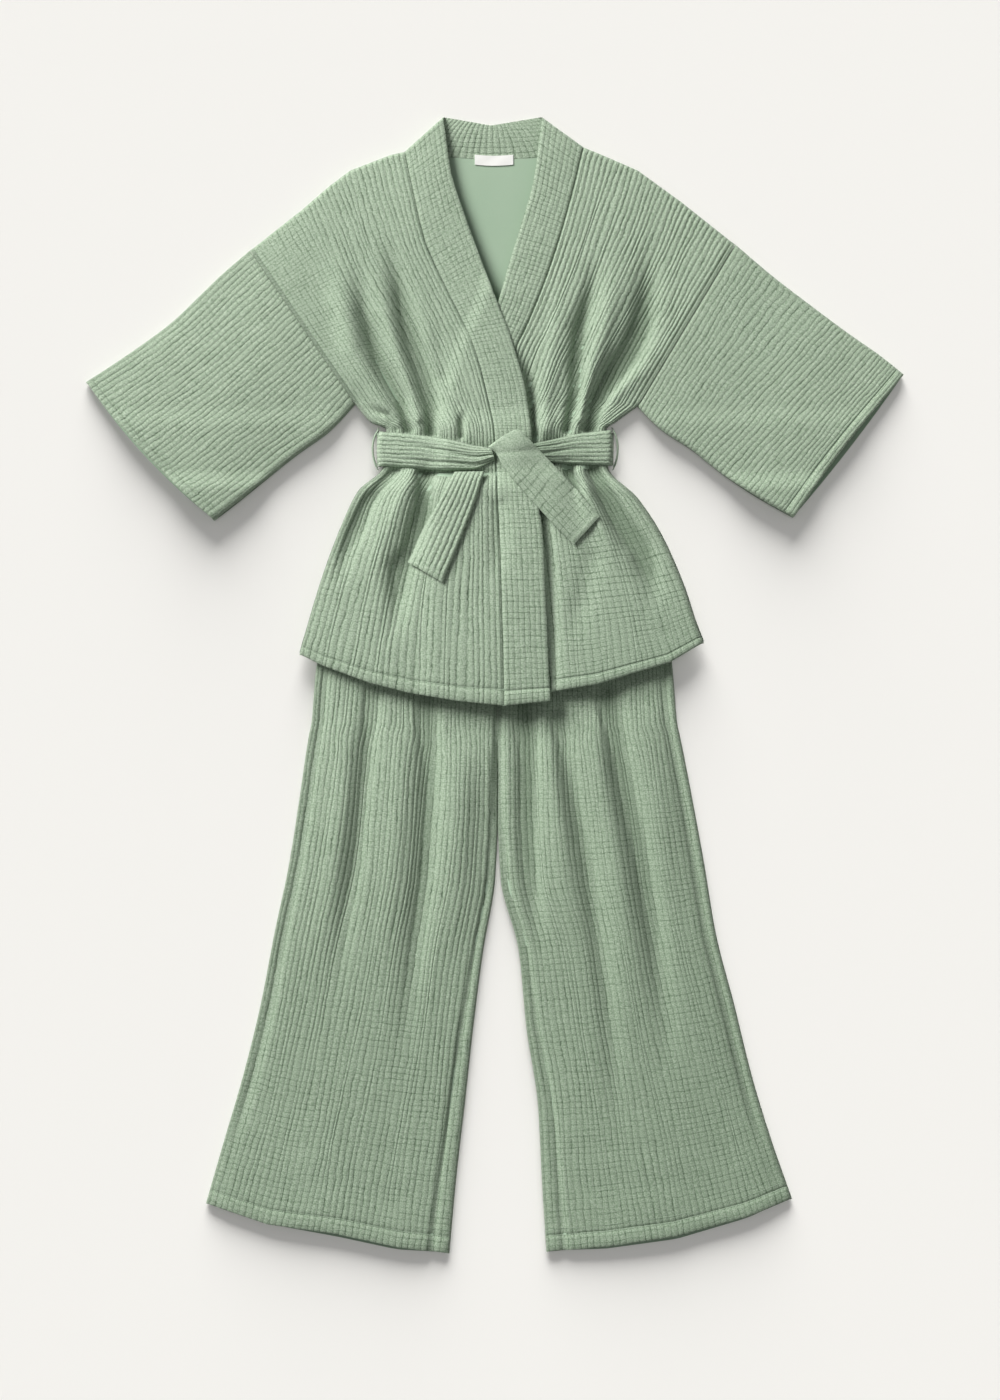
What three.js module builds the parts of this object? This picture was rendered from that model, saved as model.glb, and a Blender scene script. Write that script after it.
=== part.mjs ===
import * as THREE from 'three';

// Every size is in millimetres. The set lies on its back on a flat surface at z = 0,
// with +x to the right, +y toward the neck and +z up.

// Cloth
const CLOTH = 2.2;          // wall of the crinkled cotton
const BAND_CLOTH = 2.6;     // the neckband is doubled, so it is a little thicker
const SASH_CLOTH = 2.4;     // the sash is two layers sewn flat
const LABEL_CLOTH = 1;
const RIB = 0.32;           // a rib rises and falls this much about the wall
const SEAM = 0.3;           // space between two pieces at a seam
const SIDE_SEAM = 0.55;     // the same where a front meets the back round an edge
const LEG_RIBS = 28;        // ribs across the front of one leg
const FRONT_RIBS = 22;      // ribs across one jacket front
const SLEEVE_RIBS = 25;     // ribs along or across one sleeve

// Turned edges, as radii to the outer face
const JACKET_TURN = 5;
const BELT_TURN = 2.6;      // height of the back's turned sides under the sash
const BELT_SPREAD = 30;     // distance from the sash over which they reach the full turn
const TROUSER_TURN = 4;
const SASH_TURN = 7.9;
const KNOT_TURN = 4;

// Rise of the upper layer over the lower one, away from the turned edges
const JACKET_CROWN = 8;
const BELT_CROWN = 4.5;     // pressed flat under the sash
const LEG_CROWN = 6;
const PRESSED_CROWN = 1;    // trousers under the jacket
const CROWN_REACH = 60;     // distance from an edge over which the crown rises
const BELT_REACH = 22;      // distance from the sash over which the cloth gets free of it

// Layers
const SASH_LIFT = 2.9;      // jacket back over the hidden stretch of the sash
const TROUSER_LIFT = 9.9;   // jacket back over the trousers
const LAP = 3.7;            // the left front over the right front
const BELT_LOW = 283;       // the sash lies between these heights
const BELT_HIGH = 330;
const BELT_ENDS = [-150, 160];
const RAMP_TOP = 279;       // the jacket back comes down from the trousers between these
const RAMP_LOW = 251;
const WAIST_TOP = 240;      // top of the trousers' waistband
const WAIST_LOW = 207;      // its seam

// Jacket, from the hem up. side: side seam. seam: neckband seam. edge: free edge of the
// neckband. The side ends at the underarm, and the armhole goes straight to the shoulder tip.
const LEFT_ROWS = [
  { side: [-252, 39], seam: [13, -27], edge: [73, -21] },
  { side: [-242, 74], seam: [12, 39], edge: [70, 39] },
  { side: [-225, 131], seam: [10, 110], edge: [67, 110] },
  { side: [-199, 202], seam: [8, 176], edge: [64, 176] },
  { side: [-176, 250], seam: [5, 236], edge: [58, 236] },
  { side: [-144, 283], seam: [3, 282], edge: [53, 282] },
  { side: [-140, 330], seam: [0, 331], edge: [48, 330] },
  { side: [-160, 341], seam: [-6, 362], edge: [44, 363] },
  { side: [-180, 364], seam: [-13, 393], edge: [38, 396] },
  { seam: [-26, 437], edge: [24, 444] },
  { seam: [-45, 480], edge: [5, 494] },
  { seam: [-66, 522], edge: [-16, 549] },
  { seam: [-90, 578], edge: [-38, 610] },
  { seam: [-104, 636], edge: [-55, 665] },
  { seam: [-116, 692], edge: [-66, 737] },
];
const RIGHT_ROWS = [
  { side: [272, 54], seam: [-9, -15], edge: [-69, -14] },
  { side: [262, 80], seam: [-6, 39], edge: [-66, 39] },
  { side: [247, 126], seam: [-4, 110], edge: [-62, 110] },
  { side: [217, 194], seam: [-1, 176], edge: [-58, 176] },
  { side: [187, 240], seam: [1, 236], edge: [-53, 236] },
  { side: [148, 283], seam: [3, 282], edge: [-48, 282] },
  { side: [146, 330], seam: [5, 331], edge: [-43, 330] },
  { side: [161, 343], seam: [10, 362], edge: [-39, 363] },
  { side: [186, 361], seam: [16, 392], edge: [-34, 396] },
  { seam: [27, 432], edge: [-20, 441] },
  { seam: [46, 474], edge: [3, 490] },
  { seam: [67, 526], edge: [18, 541] },
  { seam: [85, 580], edge: [35, 597] },
  { seam: [101, 636], edge: [52, 660] },
  { seam: [116, 698], edge: [62, 737] },
];
const UNDERARM_ROW = 8;
const TIP = { left: [-317, 564], right: [313, 572] };
const SHOULDER = {
  left: [TIP.left, [-252, 615], [-216, 646], [-188, 667], [-134, 688], [-116, 692]],
  right: [TIP.right, [246, 625], [217, 646], [188, 667], [140, 688], [116, 698]],
};
const HEM = {
  left: [[-252, 39], [-226, 26], [-163, 3], [-112, -10], [-46, -21], [13, -27]],
  right: [[272, 54], [231, 30], [135, 1], [74, -9], [-9, -15]],
};
const BACK_HEM = [[-252, 42], [-163, 7], [-112, -6], [-46, -16], [13, -18], [74, -5], [135, 5],
  [231, 34], [272, 57]];
const NECK_SEAM = [[-116, 692], [-61, 686], [-4, 682], [55, 685], [116, 698]];
const NECK_TOP = [[-66, 737], [-4, 727], [62, 737]];

// Sleeves, from the armhole to the cuff. upper: folded edge. lower: under seam.
const LEFT_SLEEVE = [
  { upper: TIP.left, lower: [-180, 364] },
  { upper: [-354, 532], lower: [-212, 330] },
  { upper: [-419, 470], lower: [-256, 298] },
  { upper: [-462, 438], lower: [-296, 266] },
  { upper: [-502, 411], lower: [-333, 236] },
  { upper: [-530, 393], lower: [-363, 213] },
];
const RIGHT_SLEEVE = [
  { upper: TIP.right, lower: [186, 361] },
  { upper: [360, 532], lower: [218, 330] },
  { upper: [420, 486], lower: [256, 305] },
  { upper: [462, 455], lower: [298, 272] },
  { upper: [502, 427], lower: [345, 241] },
  { upper: [532, 403], lower: [388, 217] },
];
const CUFF_BOW = { left: 9, right: 3 };   // how far the cuff bulges past a straight line

// Trousers, from the waistband seam to the hem, left and right leg. The legs touch to row 7.
const LEGS = [
  { out: [-176, 207], in: [5, 207], in2: [5, 207], out2: [190, 207] },
  { out: [-199, 150], in: [5, 150], in2: [5, 150], out2: [209, 150] },
  { out: [-216, 90], in: [5, 90], in2: [5, 90], out2: [224, 90] },
  { out: [-231, 20], in: [5, 20], in2: [5, 20], out2: [232, 20] },
  { out: [-237, -50], in: [5, -52], in2: [5, -52], out2: [238, -50] },
  { out: [-240, -64], in: [5, -66], in2: [5, -66], out2: [241, -64] },
  { out: [-244, -88], in: [4.5, -94], in2: [5.8, -94], out2: [246, -88] },
  { out: [-253, -150], in: [3, -160], in2: [7, -160], out2: [258, -150] },
  { out: [-266, -232], in: [-1, -250], in2: [11, -250], out2: [273, -232] },
  { out: [-285, -322], in: [-14, -345], in2: [32, -345], out2: [288, -322] },
  { out: [-303, -415], in: [-27, -445], in2: [42, -445], out2: [312, -415] },
  { out: [-326, -508], in: [-38, -545], in2: [57, -545], out2: [335, -508] },
  { out: [-350, -590], in: [-49, -640], in2: [62, -640], out2: [360, -590] },
  { out: [-374, -673], in: [-58, -738], in2: [68, -736], out2: [387, -667] },
];
const CROTCH_ROW = 5;
const LEG_HEM = {
  left: [[-374, -673], [-296, -699], [-203, -712], [-124, -729], [-58, -738]],
  right: [[387, -667], [332, -689], [237, -715], [143, -729], [68, -736]],
};
const LEG_HEM_BACK = {
  left: [[-374, -673], [-296, -700], [-203, -717], [-124, -734], [-58, -738]],
  right: [[387, -667], [332, -692], [237, -720], [143, -733], [68, -736]],
};

// Folds as soft troughs from, through and to three places, with their depth and half width.
const JACKET_FOLDS = [
  { from: [-108, 330], by: [-144, 413], to: [-181, 542], depth: 3.6, wide: 15 },
  { from: [-83, 326], by: [-103, 436], to: [-142, 578], depth: 5, wide: 19 },
  { from: [-55, 326], by: [-60, 384], to: [-74, 462], depth: 2.4, wide: 11 },
  { from: [-127, 330], by: [-142, 356], to: [-168, 384], depth: 2.6, wide: 10 },
  { from: [96, 330], by: [103, 416], to: [127, 514], depth: 4, wide: 16 },
  { from: [123, 332], by: [164, 422], to: [194, 526], depth: 4, wide: 16 },
  { from: [138, 334], by: [170, 368], to: [200, 404], depth: 2.4, wide: 10 },
  { from: [-122, 280], by: [-164, 214], to: [-203, 124], depth: 4.4, wide: 18 },
  { from: [-87, 278], by: [-112, 176], to: [-143, 58], depth: 5, wide: 19 },
  { from: [-12, 278], by: [-20, 202], to: [-23, 84], depth: 2.4, wide: 13 },
  { from: [101, 280], by: [120, 202], to: [138, 98], depth: 3, wide: 14 },
  { from: [125, 281], by: [169, 194], to: [209, 91], depth: 4.6, wide: 17 },
];
const LEG_FOLDS = [
  { from: [-159, -20], by: [-174, -176], to: [-203, -384], depth: 2.4, wide: 30 },
  { from: [-70, -20], by: [-91, -188], to: [-112, -410], depth: 2.8, wide: 34 },
  { from: [86, -39], by: [125, -228], to: [159, -488], depth: 2.8, wide: 32 },
  { from: [166, -6], by: [209, -214], to: [255, -422], depth: 2.4, wide: 30 },
];

// Sash: the stretches that show, from the side to the knot, then the two loose ends.
const SASH_LEFT = [
  { high: [-146, 329], low: [-149, 283] },
  { high: [-107, 325], low: [-118, 281] },
  { high: [-70, 320], low: [-70, 277.5] },
  { high: [-31, 311], low: [-31, 278] },
  { high: [-3, 306], low: [1, 290] },
];
const SASH_RIGHT = [
  { high: [150, 331], low: [152, 284] },
  { high: [112, 326], low: [112, 285] },
  { high: [73, 317], low: [80, 287] },
  { high: [50, 312], low: [56, 290] },
];
const SASH_END = { left: -152, right: 155 };
const KNOT_ROWS = [
  { high: [10, 320], low: [-8, 307] },
  { high: [30, 329], low: [3, 298] },
  { high: [44, 318], low: [9, 286] },
  { high: [57, 305], low: [22, 268] },
  { high: [109, 250], low: [73, 211] },
  { high: [136, 217], low: [103, 181] },
];
const TAIL_ROWS = [
  { high: [-51, 275.5], low: [-12, 276] },
  { high: [-72, 236], low: [-22, 242] },
  { high: [-93, 200], low: [-42, 188] },
  { high: [-112, 159], low: [-66, 132] },
];
const SASH_GAP = 1.0;       // the sash stretches over the fronts
const TAIL_GAP = 1.5;       // the loose ends over the fronts
const KNOT_RISE = 4.2;      // the knot over the two stretches
const KNOT_ARCH = 6;

// Label and thread loops
const LABEL = { wide: 50, high: 13, middle: [0, 682.5], bow: 1.5 };
const LOOP = { thread: 1.1, reach: 7, steps: 10 };

// Plain helpers
const mix = (a, b, t) => a + (b - a) * t;
const clamp = (t, low = 0, high = 1) => Math.min(high, Math.max(low, t));
const ease = (low, high, t) => {
  const s = clamp((t - low) / (high - low));
  return s * s * (3 - 2 * s);
};
const steps = (from, to, count) => Array.from({ length: count + 1 }, (_, i) => mix(from, to, i / count));

// A smooth curve through values set at 0, 1, 2 and so on, which never overshoots.
function smooth(values) {
  const last = values.length - 1;
  const rise = i => values[i + 1] - values[i];
  const slope = i => {
    if (i === 0) return rise(0);
    if (i === last) return rise(last - 1);
    const [a, b] = [rise(i - 1), rise(i)];
    return a * b <= 0 ? 0 : (2 * a * b) / (a + b);
  };
  return t => {
    const i = Math.min(last - 1, Math.max(0, Math.floor(t)));
    const s = t - i;
    const [s2, s3] = [s * s, s * s * s];
    return (2 * s3 - 3 * s2 + 1) * values[i] + (s3 - 2 * s2 + s) * slope(i)
      + (3 * s2 - 2 * s3) * values[i + 1] + (s3 - s2) * slope(i + 1);
  };
}

// A curve through points, followed by row number from 0 to 1.
function byRow(points) {
  const x = smooth(points.map(p => p[0]));
  const y = smooth(points.map(p => p[1]));
  return t => [x(t * (points.length - 1)), y(t * (points.length - 1))];
}

// A line through points, followed by its length from 0 to 1.
function byLength(points) {
  const far = [0];
  for (let i = 1; i < points.length; i++) {
    far.push(far[i - 1] + Math.hypot(points[i][0] - points[i - 1][0], points[i][1] - points[i - 1][1]));
  }
  const all = far[far.length - 1];
  return t => {
    let i = 0;
    while (i < points.length - 2 && far[i + 1] < t * all) i++;
    const s = clamp((t * all - far[i]) / (far[i + 1] - far[i]));
    return [mix(points[i][0], points[i + 1][0], s), mix(points[i][1], points[i + 1][1], s)];
  };
}

// Where the points of such a line lie along it, from 0 to 1.
function stops(points) {
  const far = [0];
  for (let i = 1; i < points.length; i++) {
    far.push(far[i - 1] + Math.hypot(points[i][0] - points[i - 1][0], points[i][1] - points[i - 1][1]));
  }
  return far.map(d => d / far[far.length - 1]);
}

// The flat outline between four curves that meet at their ends.
function outline({ west, east, south, north }) {
  return (u, v) => {
    const [w, e, s, n] = [west(v), east(v), south(u), north(u)];
    const [sw, se, nw, ne] = [west(0), east(0), west(1), east(1)];
    // the bow of either end dies away quickly along the panel
    return [0, 1].map(k => mix(w[k], e[k], u) + (s[k] - mix(sw[k], se[k], u)) * (1 - v) ** 3
      + (n[k] - mix(nw[k], ne[k], u)) * v ** 3);
  };
}

// How far a place lies from a chain of points.
function distance(x, y, points) {
  let best = Infinity;
  for (let i = 1; i < points.length; i++) {
    const [[ax, ay], [bx, by]] = [points[i - 1], points[i]];
    const [dx, dy] = [bx - ax, by - ay];
    const t = clamp(((x - ax) * dx + (y - ay) * dy) / (dx * dx + dy * dy));
    best = Math.min(best, Math.hypot(x - ax - dx * t, y - ay - dy * t));
  }
  return best;
}

function troughs(x, y, folds) {
  let sum = 0;
  for (const f of folds) {
    const d = distance(x, y, [f.from, f.by, f.to]) / f.wide;
    const along = Math.hypot(x - f.to[0], y - f.to[1]) / Math.hypot(f.from[0] - f.to[0], f.from[1] - f.to[1]);
    sum += f.depth * Math.exp(-d * d) * ease(0, 0.55, along);
  }
  return sum;
}

// Curves shared by neighbouring pieces
const armhole = (under, tip) => t => [mix(under[0], tip[0], t), mix(under[1], tip[1], t)];
function sideCurve(rows, tip) {
  const last = rows.length - 1;
  const under = UNDERARM_ROW / last;
  const side = byRow(rows.slice(0, UNDERARM_ROW + 1).map(r => r.side));
  const hole = armhole(rows[UNDERARM_ROW].side, tip);
  return v => (v <= under ? side(v / under) : hole((v - under) / (1 - under)));
}
const side = { left: sideCurve(LEFT_ROWS, TIP.left), right: sideCurve(RIGHT_ROWS, TIP.right) };
const bandSeam = { left: byRow(LEFT_ROWS.map(r => r.seam)), right: byRow(RIGHT_ROWS.map(r => r.seam)) };
const bandEdge = { left: byRow(LEFT_ROWS.map(r => r.edge)), right: byRow(RIGHT_ROWS.map(r => r.edge)) };

// The same curves read the other way: x for a given y.
function xAt(points) {
  const sorted = [...points].sort((a, b) => a[1] - b[1]);
  return y => {
    let i = 0;
    while (i < sorted.length - 2 && sorted[i + 1][1] < y) i++;
    const [[ax, ay], [bx, by]] = [sorted[i], sorted[i + 1]];
    return mix(ax, bx, clamp((y - ay) / (by - ay)));
  };
}
function yAt(points) {
  const turned = xAt(points.map(([x, y]) => [y, x]));
  return x => turned(x);
}
const sideX = { left: xAt(LEFT_ROWS.slice(0, 9).map(r => r.side)), right: xAt(RIGHT_ROWS.slice(0, 9).map(r => r.side)) };
const freeEdgeLeft = xAt(LEFT_ROWS.map(r => r.edge));
const freeEdgeRight = xAt(RIGHT_ROWS.map(r => r.edge));
const legOutLeft = xAt(LEGS.map(r => r.out));
const legOutRight = xAt(LEGS.map(r => r.out2));
const legInLeft = xAt(LEGS.map(r => r.in));
const legInRight = xAt(LEGS.map(r => r.in2));
const hemHeight = yAt(BACK_HEM);

// The jacket's turned outline: shoulders with upper sleeve edges, and sides with under seams.
const TURNED = [
  [LEFT_ROWS[14].edge, ...[...SHOULDER.left].reverse(), ...LEFT_SLEEVE.slice(1).map(r => r.upper)],
  [RIGHT_ROWS[14].edge, ...[...SHOULDER.right].reverse(), ...RIGHT_SLEEVE.slice(1).map(r => r.upper)],
  [...LEFT_ROWS.slice(0, 9).map(r => r.side), ...LEFT_SLEEVE.slice(1).map(r => r.lower)],
  [...RIGHT_ROWS.slice(0, 9).map(r => r.side), ...RIGHT_SLEEVE.slice(1).map(r => r.lower)],
];

// Heights of the layers
function backLevel(y) {
  const onSash = ease(362, BELT_HIGH + 3, y) * SASH_LIFT;
  const onTrousers = ease(RAMP_TOP, RAMP_LOW, y) * (TROUSER_LIFT - SASH_LIFT);
  return onSash + onTrousers;
}
function beltFree(x, y) {
  const away = Math.max(y - BELT_HIGH, BELT_LOW - y, 0);
  const beyond = Math.max(BELT_ENDS[0] - x, x - BELT_ENDS[1], 0);
  return 1 - Math.exp(-Math.hypot(away, beyond) / BELT_REACH);
}
// Heights of the turned sides: the back's are low under the sash, and the fronts' make up for it.
function backTurn(y) {
  const away = Math.max(y - BELT_HIGH, BELT_LOW - y, 0);
  return mix(BELT_TURN, JACKET_TURN, ease(0, BELT_SPREAD, away));
}
const frontTurn = y => 2 * JACKET_TURN - backTurn(y);
function jacketTop(x, y) {
  const edge = Math.min(...TURNED.map(chain => distance(x, y, chain)));
  const free = beltFree(x, y);
  const crown = mix(BELT_CROWN, JACKET_CROWN, free) * (1 - Math.exp(-edge / CROWN_REACH));
  const fold = troughs(x, y, JACKET_FOLDS) * mix(0.12, 1, free) * (1 - Math.exp(-((edge / 16) ** 2)));
  return backLevel(y) + 2 * JACKET_TURN + SIDE_SEAM + crown - fold;
}
// The left front is lifted where the right one lies under it.
const lap = (x, y) => LAP * ease(-34, -12, x - freeEdgeRight(y));
const leftTop = (x, y) => jacketTop(x, y) + lap(x, y);
// The face that the sash and its ends lie on.
const coverTop = (x, y) => jacketTop(x, y) + lap(x, y) * ease(42, 7, x - freeEdgeLeft(y));
function trouserTop(x, y) {
  const below = Math.max(0, hemHeight(x) - 34 - y);
  const free = 1 - Math.exp(-((below / 45) ** 2));
  const outer = Math.min(x - legOutLeft(y), legOutRight(y) - x);
  const inner = (x < 5 ? legInLeft(y) - x : x - legInRight(y)) + 300 * ease(-110, -60, y);
  const crown = mix(PRESSED_CROWN, LEG_CROWN, free)
    * (1 - Math.exp(-Math.max(0, outer) / 45)) * (1 - Math.exp(-Math.max(0, inner) / 45));
  const inside = 1 - Math.exp(-((Math.max(0, Math.min(outer, inner)) / 22) ** 2));
  return 2 * TROUSER_TURN + SEAM + crown - troughs(x, y, LEG_FOLDS) * free * inside;
}
const ribFree = (x, y) => ease(0, 25, hemHeight(x) - 14 - y);

// A wall made of an outer and an inner skin that are zipped along their rims.
class Wall {
  constructor() {
    this.points = [];
    this.faces = [];
  }
  skin(us, vs, place, up) {
    const ids = vs.map(v => us.map(u => this.points.push(place(u, v)) - 1));
    for (let i = 0; i + 1 < vs.length; i++) {
      for (let j = 0; j + 1 < us.length; j++) {
        const [a, b, c, d] = [ids[i][j], ids[i][j + 1], ids[i + 1][j + 1], ids[i + 1][j]];
        if (up) this.faces.push([a, b, c], [a, c, d]);
        else this.faces.push([a, c, b], [a, d, c]);
      }
    }
    const column = j => ids.map(row => row[j]);
    return {
      south: { ids: ids[0], at: us }, north: { ids: ids[vs.length - 1], at: us },
      west: { ids: column(0), at: vs }, east: { ids: column(us.length - 1), at: vs },
    };
  }
  zip(a, b) {
    let [i, j] = [0, 0];
    while (i < a.ids.length - 1 || j < b.ids.length - 1) {
      const second = i === a.ids.length - 1
        || (j < b.ids.length - 1 && b.at[j + 1] <= a.at[i + 1] + 1e-9);
      if (second) this.faces.push([a.ids[i], b.ids[j], b.ids[++j]]);
      else this.faces.push([a.ids[i], b.ids[j], a.ids[++i]]);
    }
  }
  rims(top, bottom) {
    const back = line => ({ ids: [...line.ids].reverse(), at: line.at.map(t => -t).reverse() });
    this.zip(top.south, bottom.south);
    this.zip(top.east, bottom.east);
    this.zip(back(top.north), back(bottom.north));
    this.zip(back(top.west), back(bottom.west));
  }
  mesh(name, colour) {
    let volume = 0;
    for (const [a, b, c] of this.faces) {
      const [p, q, r] = [this.points[a], this.points[b], this.points[c]];
      volume += p[0] * (q[1] * r[2] - q[2] * r[1]) - p[1] * (q[0] * r[2] - q[2] * r[0])
        + p[2] * (q[0] * r[1] - q[1] * r[0]);
    }
    const faces = volume < 0 ? this.faces.map(([a, b, c]) => [a, c, b]) : this.faces;
    const geometry = new THREE.BufferGeometry();
    geometry.setAttribute('position', new THREE.Float32BufferAttribute(this.points.flat(), 3));
    geometry.setIndex(faces.flat());
    geometry.computeVertexNormals();
    const mesh = new THREE.Mesh(geometry, new THREE.MeshStandardMaterial({ color: colour, roughness: 0.9 }));
    mesh.name = name;
    return mesh;
  }
}
const joined = (a, b) => ({ ids: [...a.ids, ...b.ids], at: [...a.at, ...b.at] });

// A place on a panel. u runs from west to east and v from south to north, both 0 to 1 on
// the flat; one more at either end goes round a turned edge. The answer has the plan
// position, the way out across the edge, the angle turned and how far the edge is turned.
function placer({ plan, turn, west = null, east = null, north = null }) {
  const tangent = end => {
    const [a, b] = [plan(end, 0.97), plan(end, 1)];
    const far = Math.hypot(b[0] - a[0], b[1] - a[1]);
    return [(b[0] - a[0]) / far, (b[1] - a[1]) / far];
  };
  const [leftUp, rightUp] = [tangent(0), tangent(1)];
  return (u, v) => {
    const [uc, vc] = [clamp(u), clamp(v)];
    const [p, a, b] = [plan(uc, vc), plan(0, vc), plan(1, vc)];
    const wide = Math.hypot(b[0] - a[0], b[1] - a[1]);
    const across = [(b[0] - a[0]) / wide, (b[1] - a[1]) / wide];
    const up = [mix(leftUp[0], rightUp[0], uc), mix(leftUp[1], rightUp[1], uc)];
    const long = Math.hypot(...up);
    up[0] /= long;
    up[1] /= long;
    const inset = [west ? turn : SEAM * 0.6, east ? turn : SEAM * 0.6];
    let [shift, angle, out, turned] = [0, 0, [0, 0], 1];
    if (u < 0) {
      angle = -u * Math.PI / 2;
      shift = turn * (1 - Math.sin(angle));
      out = [-across[0], -across[1]];
      turned = west(vc);
    } else if (u > 1) {
      angle = (u - 1) * Math.PI / 2;
      shift = -turn * (1 - Math.sin(angle));
      out = across;
      turned = east(vc);
    } else shift = mix(inset[0], -inset[1], u);
    // a turned edge that is flat here keeps half a seam's space
    if (u < 0) shift += SEAM * 0.6 * (1 - turned);
    if (u > 1) shift -= SEAM * 0.6 * (1 - turned);
    let drop = north ? turn * ease(0.8, 1, v) : SEAM * 0.6 * ease(0.8, 1, v);
    if (v > 1) {
      angle = (v - 1) * Math.PI / 2;
      turned = north(uc);
      drop = turn * (1 - Math.sin(angle)) + SEAM * 0.6 * (1 - turned);
      out = up;
    }
    return {
      x: p[0] + across[0] * shift - up[0] * drop,
      y: p[1] + across[1] * shift - up[1] * drop,
      out, angle, turned,
    };
  };
}

// Outer and inner faces of an upper layer, which hangs from its top height. rise gives the
// height of its turned edges at each y.
function upperFaces(place, top, rise, wall, rib) {
  const outer = (u, v) => {
    const p = place(u, v);
    return [p.x, p.y, top(p.x, p.y) - p.turned * rise(p.y) * (1 - Math.cos(p.angle))
      + (p.angle === 0 && rib ? rib(u, v, p.x, p.y) : 0)];
  };
  const inner = (u, v) => {
    const p = place(u, v);
    const lean = p.turned * wall * Math.sin(p.angle);
    const depth = mix(wall, rise(p.y) - (rise(p.y) - wall) * Math.cos(p.angle), p.turned);
    return [p.x - p.out[0] * lean, p.y - p.out[1] * lean, top(p.x, p.y) - depth];
  };
  return { outer, inner };
}
// The same for a lower layer, which stands on its base height.
function lowerFaces(place, base, rise, wall) {
  const outer = (u, v) => {
    const p = place(u, v);
    return [p.x, p.y, base(p.x, p.y) + p.turned * rise(p.y) * (1 - Math.cos(p.angle))];
  };
  const inner = (u, v) => {
    const p = place(u, v);
    const lean = p.turned * wall * Math.sin(p.angle);
    const depth = mix(wall, rise(p.y) - (rise(p.y) - wall) * Math.cos(p.angle), p.turned);
    return [p.x - p.out[0] * lean, p.y - p.out[1] * lean, base(p.x, p.y) + depth];
  };
  return { outer, inner };
}

const level = height => () => height;
const TURN_STEPS = [0.5, 1];
const before = TURN_STEPS.map(t => -t).reverse();
const after = TURN_STEPS.map(t => 1 + t);
const ribbed = (count, every = 1) => steps(0, 1, count * 2).filter((_, i) => i % every === 0 || i === count * 2);
const zigzag = (count, t) => {
  const i = Math.round(t * count * 2);
  return i === 0 || i === count * 2 ? 0 : RIB * (i % 2 ? -1 : 1);
};

const GREEN = 0xa3b598;
const LIGHT_GREEN = 0xa9bfa8;
const set = new THREE.Group();
set.name = 'kimono_pajama_set';

function panel(name, top, us, coarse, vs, faces, colour = GREEN) {
  const wall = new Wall();
  const upper = wall.skin(top === 'outer' ? us : coarse, vs, top === 'outer' ? faces.outer : faces.inner, true);
  const lower = wall.skin(coarse, vs, top === 'outer' ? faces.inner : faces.outer, false);
  wall.rims(upper, lower);
  set.add(wall.mesh(name, colour));
}

// Jacket fronts
const LAST = LEFT_ROWS.length - 1;
const rowStops = [0, 1, 2, 3, 4, 4.5, 5, 6, 7, 8, 9, 10, 11, 12, 13, 14].map(i => i / LAST);
const sideTurned = v => ease((UNDERARM_ROW + 0.2) / LAST, (UNDERARM_ROW - 0.2) / LAST, v);
const always = () => 1;
function jacketFront(which, name) {
  const left = which === 'left';
  const plan = outline({
    west: side[which], east: bandSeam[which],
    south: byLength(HEM[which]), north: byLength(SHOULDER[which]),
  });
  const place = placer({ plan, turn: JACKET_TURN, west: sideTurned, north: always });
  const rib = (u, v, x, y) => zigzag(FRONT_RIBS, u) * mix(0.25, 1, beltFree(x, y)) * ease(1, 0.97, v);
  const faces = upperFaces(place, left ? leftTop : jacketTop, frontTurn, CLOTH, rib);
  panel(name, 'outer', [...before, ...ribbed(FRONT_RIBS)], [...before, ...ribbed(FRONT_RIBS, 3)],
    [...rowStops, ...after], faces);
}
jacketFront('left', 'jacket_front_left');
jacketFront('right', 'jacket_front_right');

// Neckband: two front stretches that turn over the neck, and the stretch behind it
function neckband(which, name) {
  const left = which === 'left';
  const plan = outline({
    west: bandSeam[which], east: bandEdge[which],
    south: byLength([bandSeam[which](0), bandEdge[which](0)]),
    north: byLength([bandSeam[which](1), bandEdge[which](1)]),
  });
  const place = placer({ plan, turn: JACKET_TURN, north: always });
  const raised = (x, y) => (left ? leftTop(x, y) : jacketTop(x, y)) + BAND_CLOTH - CLOTH;
  const faces = upperFaces(place, raised, level(JACKET_TURN), BAND_CLOTH, null);
  const us = steps(0, 1, 5);
  panel(name, 'outer', us, us, [...rowStops, ...after], faces);
}
neckband('left', 'neckband_left');
neckband('right', 'neckband_right');
{
  const plan = outline({
    west: byLength([bandSeam.left(1), bandEdge.left(1)]),
    east: byLength([bandSeam.right(1), bandEdge.right(1)]),
    south: byLength(NECK_SEAM), north: byLength(NECK_TOP),
  });
  const place = placer({ plan, turn: JACKET_TURN, west: always, east: always });
  const raised = (u, v) => {
    const p = place(u, v);
    return { ...p, y: p.y + 2 * SEAM * ease(0.3, 0, v) };
  };
  const us = [...before, ...stops(NECK_SEAM), ...after];
  panel('neckband_back', 'inner', us, us, steps(0, 1, 3), lowerFaces(raised, level(0), level(JACKET_TURN), CLOTH));
}

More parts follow.
